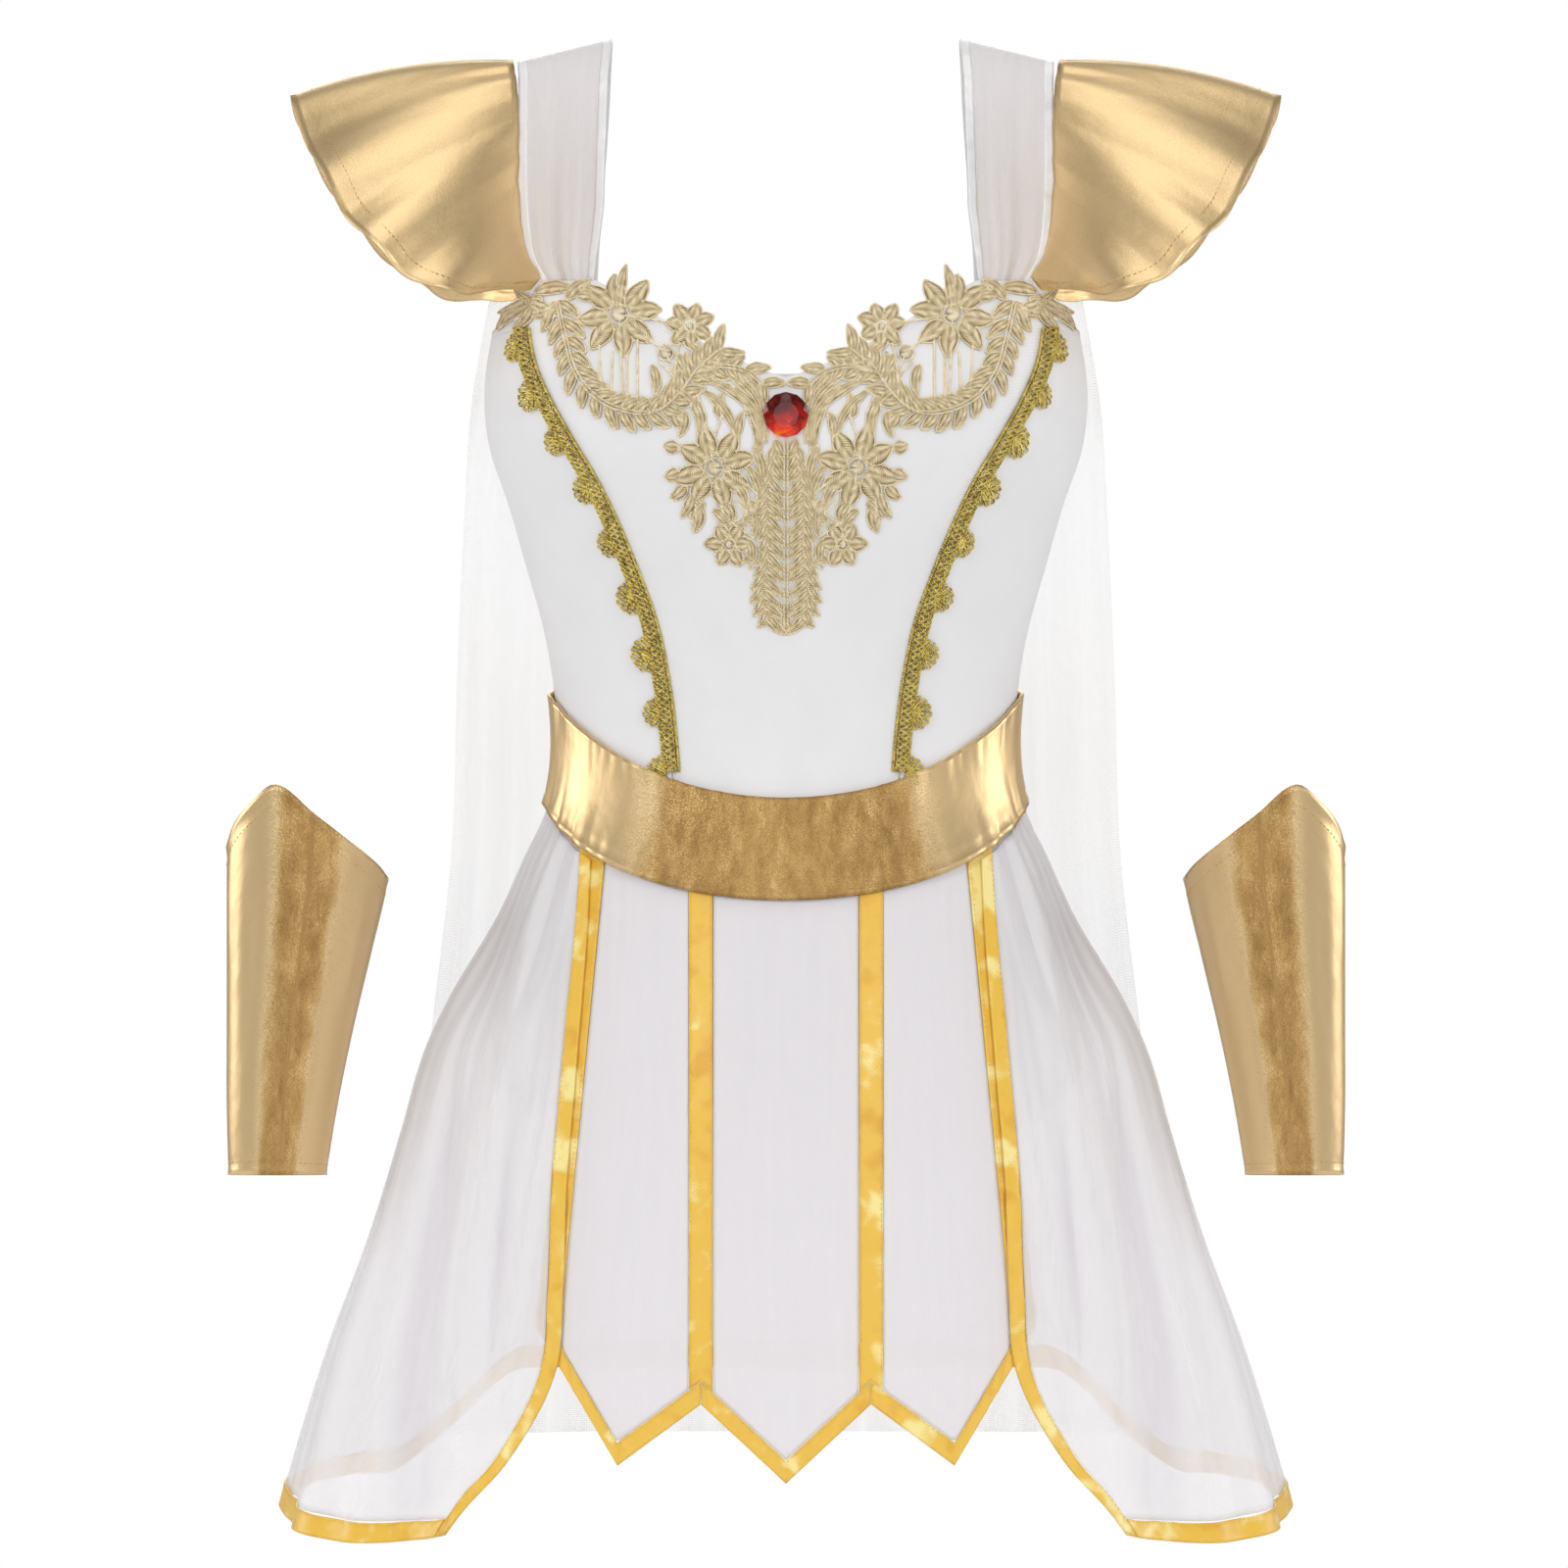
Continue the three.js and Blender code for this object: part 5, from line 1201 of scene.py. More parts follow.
def gauntletRelief(s, t, points):
    length = np.linalg.norm(np.diff(points, axis=0), axis=-1).sum(0)[None, :]
    lift = np.zeros(s.shape)
    for at, top, bottom, rise, width in ((0.86, 0.0, 0.5, 0.9, 0.02), (0.12, 0.1, 0.7, -0.8, 0.024),
                                         (0.94, 0.3, 1.0, 0.7, 0.016), (0.2, 0.0, 0.4, 0.8, 0.018),
                                         (0.4, 0.2, 0.9, -0.8, 0.03), (0.62, 0.1, 0.8, 0.9, 0.03),
                                         (0.72, 0.5, 1.0, -0.7, 0.02)):
        away = (s - at + 0.5) % 1 - 0.5
        lift += rise * np.exp(-(away / width) ** 2) * np.sin(np.pi * np.clip((t - top) / (bottom - top), 0, 1))
    for fromEdge in (t * length, (1 - t) * length):
        lift += 0.5 * np.exp(-(fromEdge / 2) ** 2) - 0.4 * np.exp(-((fromEdge - gauntletShape["hem"]) / 1.0) ** 2)
    return lift - 0.8 * np.exp(-(((s - 0.5) % 1) / 0.008) ** 2)


sleeves = pair("gauntlet", gauntlet, steps(100)[:-1], steps(60), lame, "gold_lame", "stretched", [],
               centre=gauntletCentre, relief=gauntletRelief, closed=True, lift=-1.3, thickness=1.3)
for piece in sleeves:
    turn = np.tile(np.tile(np.arange(100) / 100, 61), 2)
    front = np.abs((turn + 0.5) % 1 - 0.5)
    addValue(piece, "crackle", lerp(1.0, 0.06, ramp(front, 0.035, 0.1)))
print("stage: gauntlets made")


# Cords and stitches: trees that follow a path with the way out of the cloth kept on its points
def pathMesh(name, lines):
    # lines are (points, outward directions, closed); the result is a mesh of edges
    points, outs, edges = [], [], []
    for line, out, closed in lines:
        start = len(points)
        points += (np.asarray(line) * metre).tolist()
        outs += np.asarray(out).tolist()
        edges += [(start + k, start + k + 1) for k in range(len(line) - 1)]
        if closed:
            edges.append((start + len(line) - 1, start))
    mesh = bpy.data.meshes.new(name)
    mesh.from_pydata(points, edges, [])
    attribute = mesh.attributes.new("out", "FLOAT_VECTOR", "POINT")
    attribute.data.foreach_set("vector", np.asarray(outs, np.float32).ravel())
    return mesh


def newTree(name, sizes):
    tree = bpy.data.node_groups.new(name, "GeometryNodeTree")
    tree.interface.new_socket("Path", in_out="INPUT", socket_type="NodeSocketGeometry")
    for label, value in sizes.items():
        kind = "NodeSocketInt" if isinstance(value, int) else "NodeSocketFloat"
        tree.interface.new_socket(label, in_out="INPUT", socket_type=kind).default_value = value
    tree.interface.new_socket("Material", in_out="INPUT", socket_type="NodeSocketMaterial")
    tree.interface.new_socket("Geometry", in_out="OUTPUT", socket_type="NodeSocketGeometry")
    return tree, addNode(tree, "NodeGroupInput").outputs


def endTree(tree, source, geometry):
    real = addNode(tree, "GeometryNodeRealizeInstances", {"Geometry": geometry})
    painted = addNode(tree, "GeometryNodeSetMaterial", {"Geometry": real.outputs[0], "Material": source["Material"]})
    addNode(tree, "NodeGroupOutput", {"Geometry": painted.outputs[0]})
    return tree


def cordTree():
    # strands laid round each other along a path
    tree, source = newTree("laid cord", {"Strands": 3, "Lay": 0.001, "Strand": 0.0008, "Pitch": 0.006,
                                         "Step": 0.001, "Sides": 5})
    curve = addNode(tree, "GeometryNodeMeshToCurve", {"Mesh": source["Path"]})
    even = addNode(tree, "GeometryNodeResampleCurve", {"Curve": curve.outputs[0], "Length": source["Step"]},
                   mode="LENGTH")
    copies = addNode(tree, "GeometryNodeDuplicateElements", {"Geometry": even.outputs[0],
                                                             "Amount": source["Strands"]}, domain="SPLINE")
    along = addNode(tree, "GeometryNodeSplineParameter")
    turns = addNode(tree, "ShaderNodeMath", {0: along.outputs["Length"], 1: source["Pitch"]}, operation="DIVIDE")
    phase = addNode(tree, "ShaderNodeMath", {0: copies.outputs[1], 1: source["Strands"]}, operation="DIVIDE")
    both = addNode(tree, "ShaderNodeMath", {0: turns.outputs[0], 1: phase.outputs[0]}, operation="ADD")
    angle = addNode(tree, "ShaderNodeMath", {0: both.outputs[0], 1: 2 * np.pi}, operation="MULTIPLY")
    out = addNode(tree, "GeometryNodeInputNamedAttribute", {"Name": "out"}, data_type="FLOAT_VECTOR")
    tangent = addNode(tree, "GeometryNodeInputTangent")
    side = addNode(tree, "ShaderNodeVectorMath", {0: tangent.outputs[0], 1: out.outputs[0]},
                   operation="CROSS_PRODUCT")
    cosine = addNode(tree, "ShaderNodeMath", {0: angle.outputs[0]}, operation="COSINE")
    sine = addNode(tree, "ShaderNodeMath", {0: angle.outputs[0]}, operation="SINE")
    up = addNode(tree, "ShaderNodeVectorMath", {0: out.outputs[0], "Scale": cosine.outputs[0]}, operation="SCALE")
    over = addNode(tree, "ShaderNodeVectorMath", {0: side.outputs[0], "Scale": sine.outputs[0]}, operation="SCALE")
    total = addNode(tree, "ShaderNodeVectorMath", {0: up.outputs[0], 1: over.outputs[0]}, operation="ADD")
    offset = addNode(tree, "ShaderNodeVectorMath", {0: total.outputs[0], "Scale": source["Lay"]}, operation="SCALE")
    moved = addNode(tree, "GeometryNodeSetPosition", {"Geometry": copies.outputs[0], "Offset": offset.outputs[0]})
    ring = addNode(tree, "GeometryNodeCurvePrimitiveCircle", {"Resolution": source["Sides"],
                                                              "Radius": source["Strand"]})
    tube = addNode(tree, "GeometryNodeCurveToMesh", {"Curve": moved.outputs[0], "Profile Curve": ring.outputs[0],
                                                     "Fill Caps": True})
    return endTree(tree, source, tube.outputs[0])


def alongPath(tree, source, spacing):
    # evenly spaced points, each turned with X along the path and Z out of the cloth
    curve = addNode(tree, "GeometryNodeMeshToCurve", {"Mesh": source["Path"]})
    points = addNode(tree, "GeometryNodeCurveToPoints", {"Curve": curve.outputs[0], "Length": spacing},
                     mode="LENGTH")
    out = addNode(tree, "GeometryNodeInputNamedAttribute", {"Name": "out"}, data_type="FLOAT_VECTOR")
    upright = addNode(tree, "FunctionNodeAlignRotationToVector", {"Vector": out.outputs[0]}, axis="Z")
    turned = addNode(tree, "FunctionNodeAlignRotationToVector", {
        "Rotation": upright.outputs[0], "Vector": points.outputs["Tangent"]}, axis="X", pivot_axis="Z")
    return points.outputs["Points"], turned.outputs[0]


def stitchTree():
    tree, source = newTree("stitch row", {"Spacing": 0.003, "Length": 0.0021, "Width": 0.0005, "Seed": 4})
    points, turn = alongPath(tree, source, source["Spacing"])
    bead = addNode(tree, "GeometryNodeMeshIcoSphere", {"Radius": 0.5, "Subdivisions": 1})
    size = addNode(tree, "ShaderNodeCombineXYZ", {"X": source["Length"], "Y": source["Width"],
                                                  "Z": source["Width"]})
    slant = addNode(tree, "FunctionNodeRandomValue", {2: -0.12, 3: 0.12, "Seed": source["Seed"]},
                    data_type="FLOAT")
    slantTurn = addNode(tree, "ShaderNodeCombineXYZ", {"Z": slant.outputs[1]})
    local = addNode(tree, "FunctionNodeRotateRotation", {"Rotation": turn, "Rotate By": slantTurn.outputs[0]},
                    rotation_space="LOCAL")
    row = addNode(tree, "GeometryNodeInstanceOnPoints", {
        "Points": points, "Instance": bead.outputs[0], "Rotation": local.outputs[0], "Scale": size.outputs[0]})
    return endTree(tree, source, row.outputs[0])


def fanTree(loops):
    # a fan of small loops of cord at each step along a path
    tree, source = newTree("loop fans", {"Spacing": 0.02, "Reach": 0.009, "Loop": 0.0032, "Cord": 0.0007,
                                         "Spread": 1.9, "Seed": 9})
    points, turn = alongPath(tree, source, source["Spacing"])
    ring = addNode(tree, "GeometryNodeCurvePrimitiveCircle", {"Resolution": 14, "Radius": 0.5})
    ring = addNode(tree, "GeometryNodeTransform", {"Geometry": ring.outputs[0], "Translation": (0.5, 0, 0)})
    size = addNode(tree, "ShaderNodeCombineXYZ", {"X": source["Reach"], "Y": source["Loop"], "Z": 1.0})
    petal = addNode(tree, "GeometryNodeTransform", {"Geometry": ring.outputs[0], "Scale": size.outputs[0]})
    together_ = addNode(tree, "GeometryNodeJoinGeometry")
    for k in range(loops):
        share = k / (loops - 1) - 0.5
        angle = addNode(tree, "ShaderNodeMath", {0: source["Spread"], 1: share, 2: np.pi / 2},
                        operation="MULTIPLY_ADD")
        about = addNode(tree, "ShaderNodeCombineXYZ", {"Z": angle.outputs[0]})
        longer = 1 - 0.45 * abs(share) ** 1.5
        one = addNode(tree, "GeometryNodeTransform", {
            "Geometry": petal.outputs[0], "Rotation": about.outputs[0], "Scale": (longer, longer, 1),
            "Translation": (0, 0, 0.0004 * (k % 2))})
        tree.links.new(one.outputs[0], together_.inputs[0])
    profile = addNode(tree, "GeometryNodeCurvePrimitiveCircle", {"Resolution": 5, "Radius": source["Cord"]})
    cord = addNode(tree, "GeometryNodeCurveToMesh", {"Curve": together_.outputs[0],
                                                     "Profile Curve": profile.outputs[0]})
    grow = addNode(tree, "FunctionNodeRandomValue", {2: 0.9, 3: 1.08, "Seed": source["Seed"]}, data_type="FLOAT")
    fans = addNode(tree, "GeometryNodeInstanceOnPoints", {
        "Points": points, "Instance": cord.outputs[0], "Rotation": turn, "Scale": grow.outputs[1]})
    return endTree(tree, source, fans.outputs[0])


def runTree(name, tree, path, material, values):
    # the tree's result as a plain mesh at the origin
    carrier = bpy.data.objects.new(name + "_path", path)
    bpy.context.scene.collection.objects.link(carrier)
    modifier = carrier.modifiers.new("tree", "NODES")
    modifier.node_group = tree
    for item in tree.interface.items_tree:
        if item.item_type == "SOCKET" and item.in_out == "INPUT":
            if item.name in values:
                modifier[item.identifier] = values[item.name]
            elif item.name == "Material":
                modifier[item.identifier] = material
    evaluated = carrier.evaluated_get(bpy.context.evaluated_depsgraph_get())
    mesh = bpy.data.meshes.new_from_object(evaluated)
    carrier.modifiers.clear()
    bpy.data.objects.remove(carrier)
    mesh.name = name
    mesh.materials.clear()
    mesh.materials.append(material)
    mesh.polygons.foreach_set("material_index", [0] * len(mesh.polygons))
    mesh.polygons.foreach_set("use_smooth", [True] * len(mesh.polygons))
    piece = bpy.data.objects.new(name, mesh)
    bpy.context.scene.collection.objects.link(piece)
    print(name, len(mesh.polygons), "faces")
    return piece


laidCord = cordTree()
stitchRow = stitchTree()
loopFan = fanTree(7)


def liftedLine(surface, s, t, lift, centre=bodyAxis, closed=False):
    # a line on a surface, raised off it, with the way out at each point
    s, t = np.broadcast_arrays(np.asarray(s, float), np.asarray(t, float))
    normal = outward(surface, s, t, centre)
    return surface(s, t) + normal * lift, normal, closed


# Lace motifs in the plane of the front, for the viewer's left: flowers by distance from the
# centre, height, reach, petals, petal width and turn
flowerRows = [(-94.5, -157, 24.5, 8, 11, 6), (-54.5, -163.5, 14, 7, 8.8, 20), (-40.5, -244, 24, 8, 11.2, 14),
              (-32, -287.5, 13.5, 6, 8.6, 0)]
# Leafy branches: share, distance from the centre, height
garlandRows = [(0, -129, -150), (0.1, -125, -168), (0.24, -119, -189), (0.36, -107, -204), (0.49, -90, -212),
               (0.62, -73, -212), (0.75, -60, -202), (0.88, -50, -188), (1, -38, -178)]
neckRows = [(0, -50, -190), (0.4, -36, -187), (0.75, -22, -190), (1, -13, -197)]
# Leaves: root, direction in degrees, length, width and bend
leafRows = [
    (-128, -156, 150, 30, 8, 0.1), (-138, -148, 213, 31, 8, -0.12), (-144, -151, 232, 17, 6.5, 0.1),
    (-142, -144, 4, 23, 7.5, 0.1), (-124, -148, 40, 17, 7, 0.1), (-150, -150, 200, 14, 6, 0.1),
    (-130, -152, 196, 16, 7, 0.1), (-119, -146, -12, 13, 6.5, 0.1), (-134, -152, 250, 15, 6.5, 0.1),
    (-94.5, -157, 82, 29, 7, 0.05), (-43, -195, -40, 38, 5.2, 0.1), (-46, -201, -56, 34, 5.2, 0.1),
    (-36, -197, -53, 42, 5.4, 0.14), (-31, -193, -60, 36, 5.2, 0.16), (-27, -190, -50, 21, 5, 0.1),
    (-24, -206, -78, 36, 5.4, 0.12), (-52, -207, -84, 20, 6, 0.14), (-58, -212, -100, 15, 6, 0.1),
    (-36, -264, -70, 13, 6.5, 0.2), (-46, -264, -105, 15, 6.5, -0.2), (-27, -226, 76, 14, 5.5, 0.1),
    (-53, -259, -116, 15, 6.5, 0.1), (-20, -262, -96, 15, 5.5, 0.1), (-24, -274, 4, 9, 5, 0.1),
    (-61, -232, 172, 8, 7.5, 0.1), (-18, -190, 14, 10, 5, 0.1), (-76, -186, -84, 17, 5.6, 0.1),
    (-62, -180, -70, 15, 5.6, 0.1), (-47, -178, 140, 10, 6, 0.1), (-60, -246, 196, 9, 7.5, 0.1),
    (-57, -254, 222, 11, 7, 0.1), (-50, -266, -98, 15, 7, 0.1), (-58, -221, 118, 12, 7, 0.1),
    (-48, -216, 100, 13, 6.5, 0.1), (-37, -216, 84, 14, 6, 0.1), (-18, -232, -80, 26, 5.6, 0.08),
    (-22, -243, -72, 24, 5.4, 0.1), (-30, -252, -62, 17, 5.6, 0.1), (-19, -210, -80, 24, 5.2, 0.08),
    (-41, -268, -52, 15, 5.6, 0.1), (-24, -296, -20, 10, 5, 0.1), (-64, -199, -40, 17, 6, 0.1),
    (-20, -262, -86, 22, 5.4, 0.08), (-21, -284, -88, 18, 5.2, 0.08),
]
barRows = [
    (-94.5, -157, -92, -211), (-94.5, -157, -54.5, -163.5), (-54.5, -163.5, -43, -196), (-68, -179, -56, -206),
    (-68, -179, -84, -166), (-51, -200, -40.5, -244), (-40.5, -244, -32, -287.5), (-84, -170, -84, -210),
    (-106, -172, -104, -206), (-60, -172, -66, -208), (-126, -158, -114, -163), (-40.5, -244, -22, -250),
    (-32, -287.5, -18, -292), (-90, -180, -90, -206), (-98, -178, -99, -206),
    (-72, -184, -60, -196), (-30, -262, -14, -276), (-14, -262, -30, -276), (-38, -270, -18, -284),
    (-24, -252, -12, -262), (-66, -192, -56, -186), (-50, -214, -46, -224), (-36, -214, -40, -226),
]
lace = {"lift": 1.3, "rise": 1.9, "cord": 0.75, "veinDepth": 0.55, "garlandLeaves": 17, "leafLength": 14.5,
        "leafWidth": 6.4, "dot": (-68, -179, 4.6), "hole": 1.25}


def overForm(x, z, height):
    normal = outward(frontPoint, x, z, bodyAxis)
    return frontPoint(x, z) + normal * np.asarray(height)[..., None], normal


def leafSpine(x, z, turn, length, bend, root=0.0):
    # centre line and side direction of a leaf or petal
    u = steps(11)
    along, aside = root + (length - root) * u, bend * length * 4 * u * (1 - u)
    angle = np.radians(turn)
    lineX = x + along * np.cos(angle) - aside * np.sin(angle)
    lineZ = z + along * np.sin(angle) + aside * np.cos(angle)
    tangent = np.arctan2(np.gradient(lineZ), np.gradient(lineX))
    return u, lineX, lineZ, tangent


def leafParts(x, z, turn, length, width, bend=0.0, root=0.0, blunt=0.75):
    # a satin-stitched leaf: domed halves either side of a sunk vein, and its corded outline
    u, lineX, lineZ, tangent = leafSpine(x, z, turn, length, bend, root)
    shape = np.sin(np.pi * np.clip(u, 0.02, 0.985) ** blunt) ** 0.62
    v = np.array([-1, -0.72, -0.4, -0.12, 0, 0.12, 0.4, 0.72, 1])
    half = (width / 2 * shape)[:, None] * v[None, :]
    gridX = lineX[:, None] - half * np.sin(tangent)[:, None]
    gridZ = lineZ[:, None] + half * np.cos(tangent)[:, None]
    dome = (1 - np.abs(v) ** 2.4)[None, :] * shape[:, None]
    vein = lace["veinDepth"] * np.exp(-(v / 0.14) ** 2)[None, :] * shape[:, None]
    stitch = 0.09 * np.where(np.arange(len(u)) % 2, 1, -1)[:, None] * (1 - np.abs(v))[None, :]
    top, _ = overForm(gridX, gridZ, lace["lift"] + 0.35 + lace["rise"] * dome - vein * lace["rise"] + stitch)
    low, _ = overForm(gridX, gridZ, np.full(gridX.shape, lace["lift"] - 0.2))
    rimX = np.concatenate([gridX[:, 0], gridX[::-1, -1]])
    rimZ = np.concatenate([gridZ[:, 0], gridZ[::-1, -1]])
    rim, out = overForm(rimX, rimZ, np.full(rimX.shape, lace["lift"] + lace["cord"]))
    along = np.broadcast_to(((length - root) * u)[:, None], half.shape)
    uv = np.stack([along + 0.6 * np.abs(half), half], -1)
    # painted shade: darker towards the leaf's edges and along its sunk vein
    edge = np.broadcast_to(np.abs(v) ** 2.2, half.shape) + 0.5 * np.exp(-(v / 0.2) ** 2)[None, :]
    return (top, low, uv, edge), (rim, out, True)


def closedGrid(top, low, start):
    # faces of a closed body between two grids of the same shape
    count, across = top.shape[:2]
    layer = count * across
    a = (np.arange(count - 1)[:, None] * across + np.arange(across - 1)[None, :]).ravel()
    sheet = np.stack([a, a + 1, a + across + 1, a + across], -1)
    rim = list(range(across)) + [k * across + across - 1 for k in range(1, count)]
    rim += [(count - 1) * across + k for k in range(across - 2, -1, -1)]
    rim += [k * across for k in range(count - 2, 0, -1)]
    rim = np.array(rim)
    following = np.roll(rim, -1)
    sides = np.stack([following, rim, rim + layer, following + layer], -1)
    return np.concatenate([sheet + start, sheet[:, ::-1] + layer + start, sides + start])


def ringLine(x, z, radius, height, count=14):
    turn = steps(count, 0, 2 * np.pi)[:-1]
    points, out = overForm(x + radius * np.cos(turn), z + radius * np.sin(turn), np.full(count, height))
    return points, out, True


def domeParts(x, z, radius):
    r = np.array([0.02, 0.35, 0.65, 0.88, 1.0])
    turn = steps(12, 0, 2 * np.pi)
    gridX = x + radius * r[:, None] * np.cos(turn)[None, :]
    gridZ = z + radius * r[:, None] * np.sin(turn)[None, :]
    rise = lace["rise"] * np.sqrt(1 - 0.96 * r ** 2)[:, None] * np.ones(len(turn))[None, :]
    top, _ = overForm(gridX, gridZ, lace["lift"] + 0.3 + rise)
    low, _ = overForm(gridX, gridZ, np.full(gridX.shape, lace["lift"] - 0.2))
    # the last value is painted shade towards the dome's edge
    return top, low, np.stack([gridX, gridZ], -1), np.broadcast_to(0.35 * r[:, None] ** 4, gridX.shape)


def laceMotifs():
    # solid parts and corded lines of the lace on the viewer's left
    bodies, cords, bars = [], [], []

    def addLeaf(*shape, **more):
        body, rim = leafParts(*shape, **more)
        bodies.append(body)
        cords.append(rim)

    def addBar(x0, z0, x1, z1, height=0.8):
        count = max(3, int(np.hypot(x1 - x0, z1 - z0) / 3))
        share = steps(count)
        points, out = overForm(lerp(x0, x1, share), lerp(z0, z1, share), np.full(count + 1, lace["lift"] + height))
        bars.append((points, out, False))

    for x, z, reach, petals, width, turn in flowerRows:
        core = reach * 0.27
        for k in range(petals):
            angle = turn + 360 * k / petals
            grown = reach * (1 + 0.05 * np.sin(2.7 * k + x))
            addLeaf(x, z, angle, grown, width, bend=0.03 * (-1) ** k, root=core)
            mid = np.radians(angle + 180 / petals)
            holeAt = core + 1.5
            cords.append(ringLine(x + holeAt * np.cos(mid), z + holeAt * np.sin(mid), lace["hole"],
                                  lace["lift"] + 0.8, 8))
        bodies.append(domeParts(x, z, core * 0.62))
        cords.append(ringLine(x, z, core * 0.86, lace["lift"] + 1.1))
    for x, z, turn, length, width, bend in leafRows:
        addLeaf(x, z, turn, length, width, bend)

    def addBranch(rows, leaves, length, width):
        for k, stop in enumerate(steps(leaves)):
            ahead = min(stop + 0.01, 1)
            dx, dz = (smooth(rows, n, ahead) - smooth(rows, n, ahead - 0.02) for n in (1, 2))
            turn = np.degrees(np.arctan2(dz, dx))
            grown = length * (1 + 0.1 * np.sin(1.9 * k))
            x, z = smooth(rows, 1, stop), smooth(rows, 2, stop)
            addLeaf(x, z, turn + 40, grown, width, bend=0.08)
            addLeaf(x, z, turn - 42, grown * 0.95, width, bend=-0.08)
        share = steps(70)
        for offset in (-0.7, 0.7):
            stem, out = overForm(smooth(rows, 1, share) + offset, smooth(rows, 2, share) + offset,
                                 np.full(71, lace["lift"] + 1.7))
            cords.append((stem, out, False))

    addBranch(garlandRows, lace["garlandLeaves"], lace["leafLength"], lace["leafWidth"])
    addBranch(neckRows, 4, 11.5, 6.2)
    for bar in barRows:
        addBar(*bar)
    x, z, radius = lace["dot"]
    bodies.append(domeParts(x, z, radius * 0.72))
    cords.append(ringLine(x, z, radius, lace["lift"] + 1.0))
    return bodies, cords, bars


# The lace column under the gem: half width at each height
columnRows = [(-229, 8), (-243, 11), (-258, 16), (-275, 17), (-295, 16.5), (-312, 20), (-322, 20.5),
              (-332, 15), (-340, 4)]
column = {"chevrons": 15, "top": -231, "foot": -330, "leafWidth": 5.4, "drop": 11, "outer": 9}


def columnMotifs():
    # pairs of leaves that meet in a V, like an ear of wheat, with a second row outside
    bodies, cords, bars = [], [], []

    def addLeaf(*shape, **more):
        body, rim = leafParts(*shape, **more)
        bodies.append(body)
        cords.append(rim)

    for k, z in enumerate(np.linspace(column["top"], column["foot"], column["chevrons"])):
        half = float(smooth(columnRows, 1, z))
        inner = half * 0.7
        drop = column["drop"] * (1 + 0.1 * np.sin(2.3 * k))
        for side in (-1, 1):
            turn = np.degrees(np.arctan2(-drop, -side * inner))
            addLeaf(side * inner, z + 3, turn, np.hypot(drop, inner), column["leafWidth"], bend=0.07 * side)
            if half > 9:
                addLeaf(side * half * 0.62, z + 6, 90 - side * (148 + 6 * np.sin(k)), column["outer"] + half * 0.2,
                        column["leafWidth"], bend=-0.1 * side)
    z = steps(50, column["top"] + 3, column["foot"] - 4)
    for x in (-1.0, 1.0):
        points, out = overForm(x + 0 * z, z, np.full(51, lace["lift"] + 1.9))
        cords.append((points, out, False))
    addLeaf(0, column["foot"] + 3, -90, 10, 5.5)
    return bodies, cords, bars


def laceSolid(name, bodies, material, side):
    points, faces, uvs, rims, start = [], [], [], [], 0
    for top, low, uv, edge in bodies:
        points += [top.reshape(-1, 3), low.reshape(-1, 3)]
        uvs += [uv.reshape(-1, 2)] * 2
        # the low skin takes the full painted shade
        rims += [edge.ravel(), np.ones(edge.size)]
        faces.append(closedGrid(top, low, start))
        start += 2 * top.shape[0] * top.shape[1]
    piece = plainObject(name, np.concatenate(points) * [side, 1, 1], np.concatenate(faces), material)
    addUv(piece, np.concatenate(uvs) * metre)
    addValue(piece, "rim", np.concatenate(rims))
    return outwardFaces(piece)


def outwardFaces(piece):
    shape = bmesh.new()
    shape.from_mesh(piece.data)
    bmesh.ops.remove_doubles(shape, verts=shape.verts, dist=1e-6)
    bmesh.ops.recalc_face_normals(shape, faces=shape.faces)
    shape.to_mesh(piece.data)
    shape.free()
    return piece


def joinPieces(name, parts):
    # several plain meshes as one, each keeping its material
    shape = bmesh.new()
    mesh = bpy.data.meshes.new(name)
    for part in parts:
        material = part.data.materials[0]
        if material.name not in mesh.materials:
            mesh.materials.append(material)
        index = mesh.materials.find(material.name)
        part.data.polygons.foreach_set("material_index", [index] * len(part.data.polygons))
        shape.from_mesh(part.data)
    shape.to_mesh(mesh)
    shape.free()
    mesh.polygons.foreach_set("use_smooth", [True] * len(mesh.polygons))
    for part in parts:
        bpy.data.objects.remove(part)
    piece = bpy.data.objects.new(name, mesh)
    bpy.context.scene.collection.objects.link(piece)
    return piece


def flippedLines(lines, side):
    return [(points * [side, 1, 1], out * [side, 1, 1], closed) for points, out, closed in lines]


cordSizes = {"Strands": 2, "Lay": 0.32 * metre, "Strand": 0.42 * metre, "Pitch": 2.6 * metre,
             "Step": 1.4 * metre, "Sides": 4}
barSizes = {"Strands": 1, "Lay": 0.0, "Strand": 0.62 * metre, "Pitch": 3 * metre, "Step": 3 * metre, "Sides": 6}
sideMotifs = laceMotifs()
for node, (bodies, cords, bars), side in (("lace_left", sideMotifs, 1), ("lace_right", sideMotifs, -1),
                                          ("lace_centre", columnMotifs(), 1)):
    parts = [laceSolid(node + "_satin", bodies, laceSatin, side)]
    parts.append(runTree(node + "_cords", laidCord, pathMesh("cords", flippedLines(cords, side)), laceThread,
                         cordSizes))
    if bars:
        parts.append(runTree(node + "_bars", laidCord, pathMesh("bars", flippedLines(bars, side)), laceThread,
                             barSizes))
    place(joinPieces("guipure_" + node, parts), [node])
print("stage: lace made")

# Braid over the princess seams: laid gimp cords side by side, with a fan of loops at each scallop
braid = {"top": -164, "foot": -420, "width": 3.2, "period": 14, "lift": 2.9, "fans": 9, "fanFrom": 3.6,
         "fanReach": 11, "edge": 4.7}


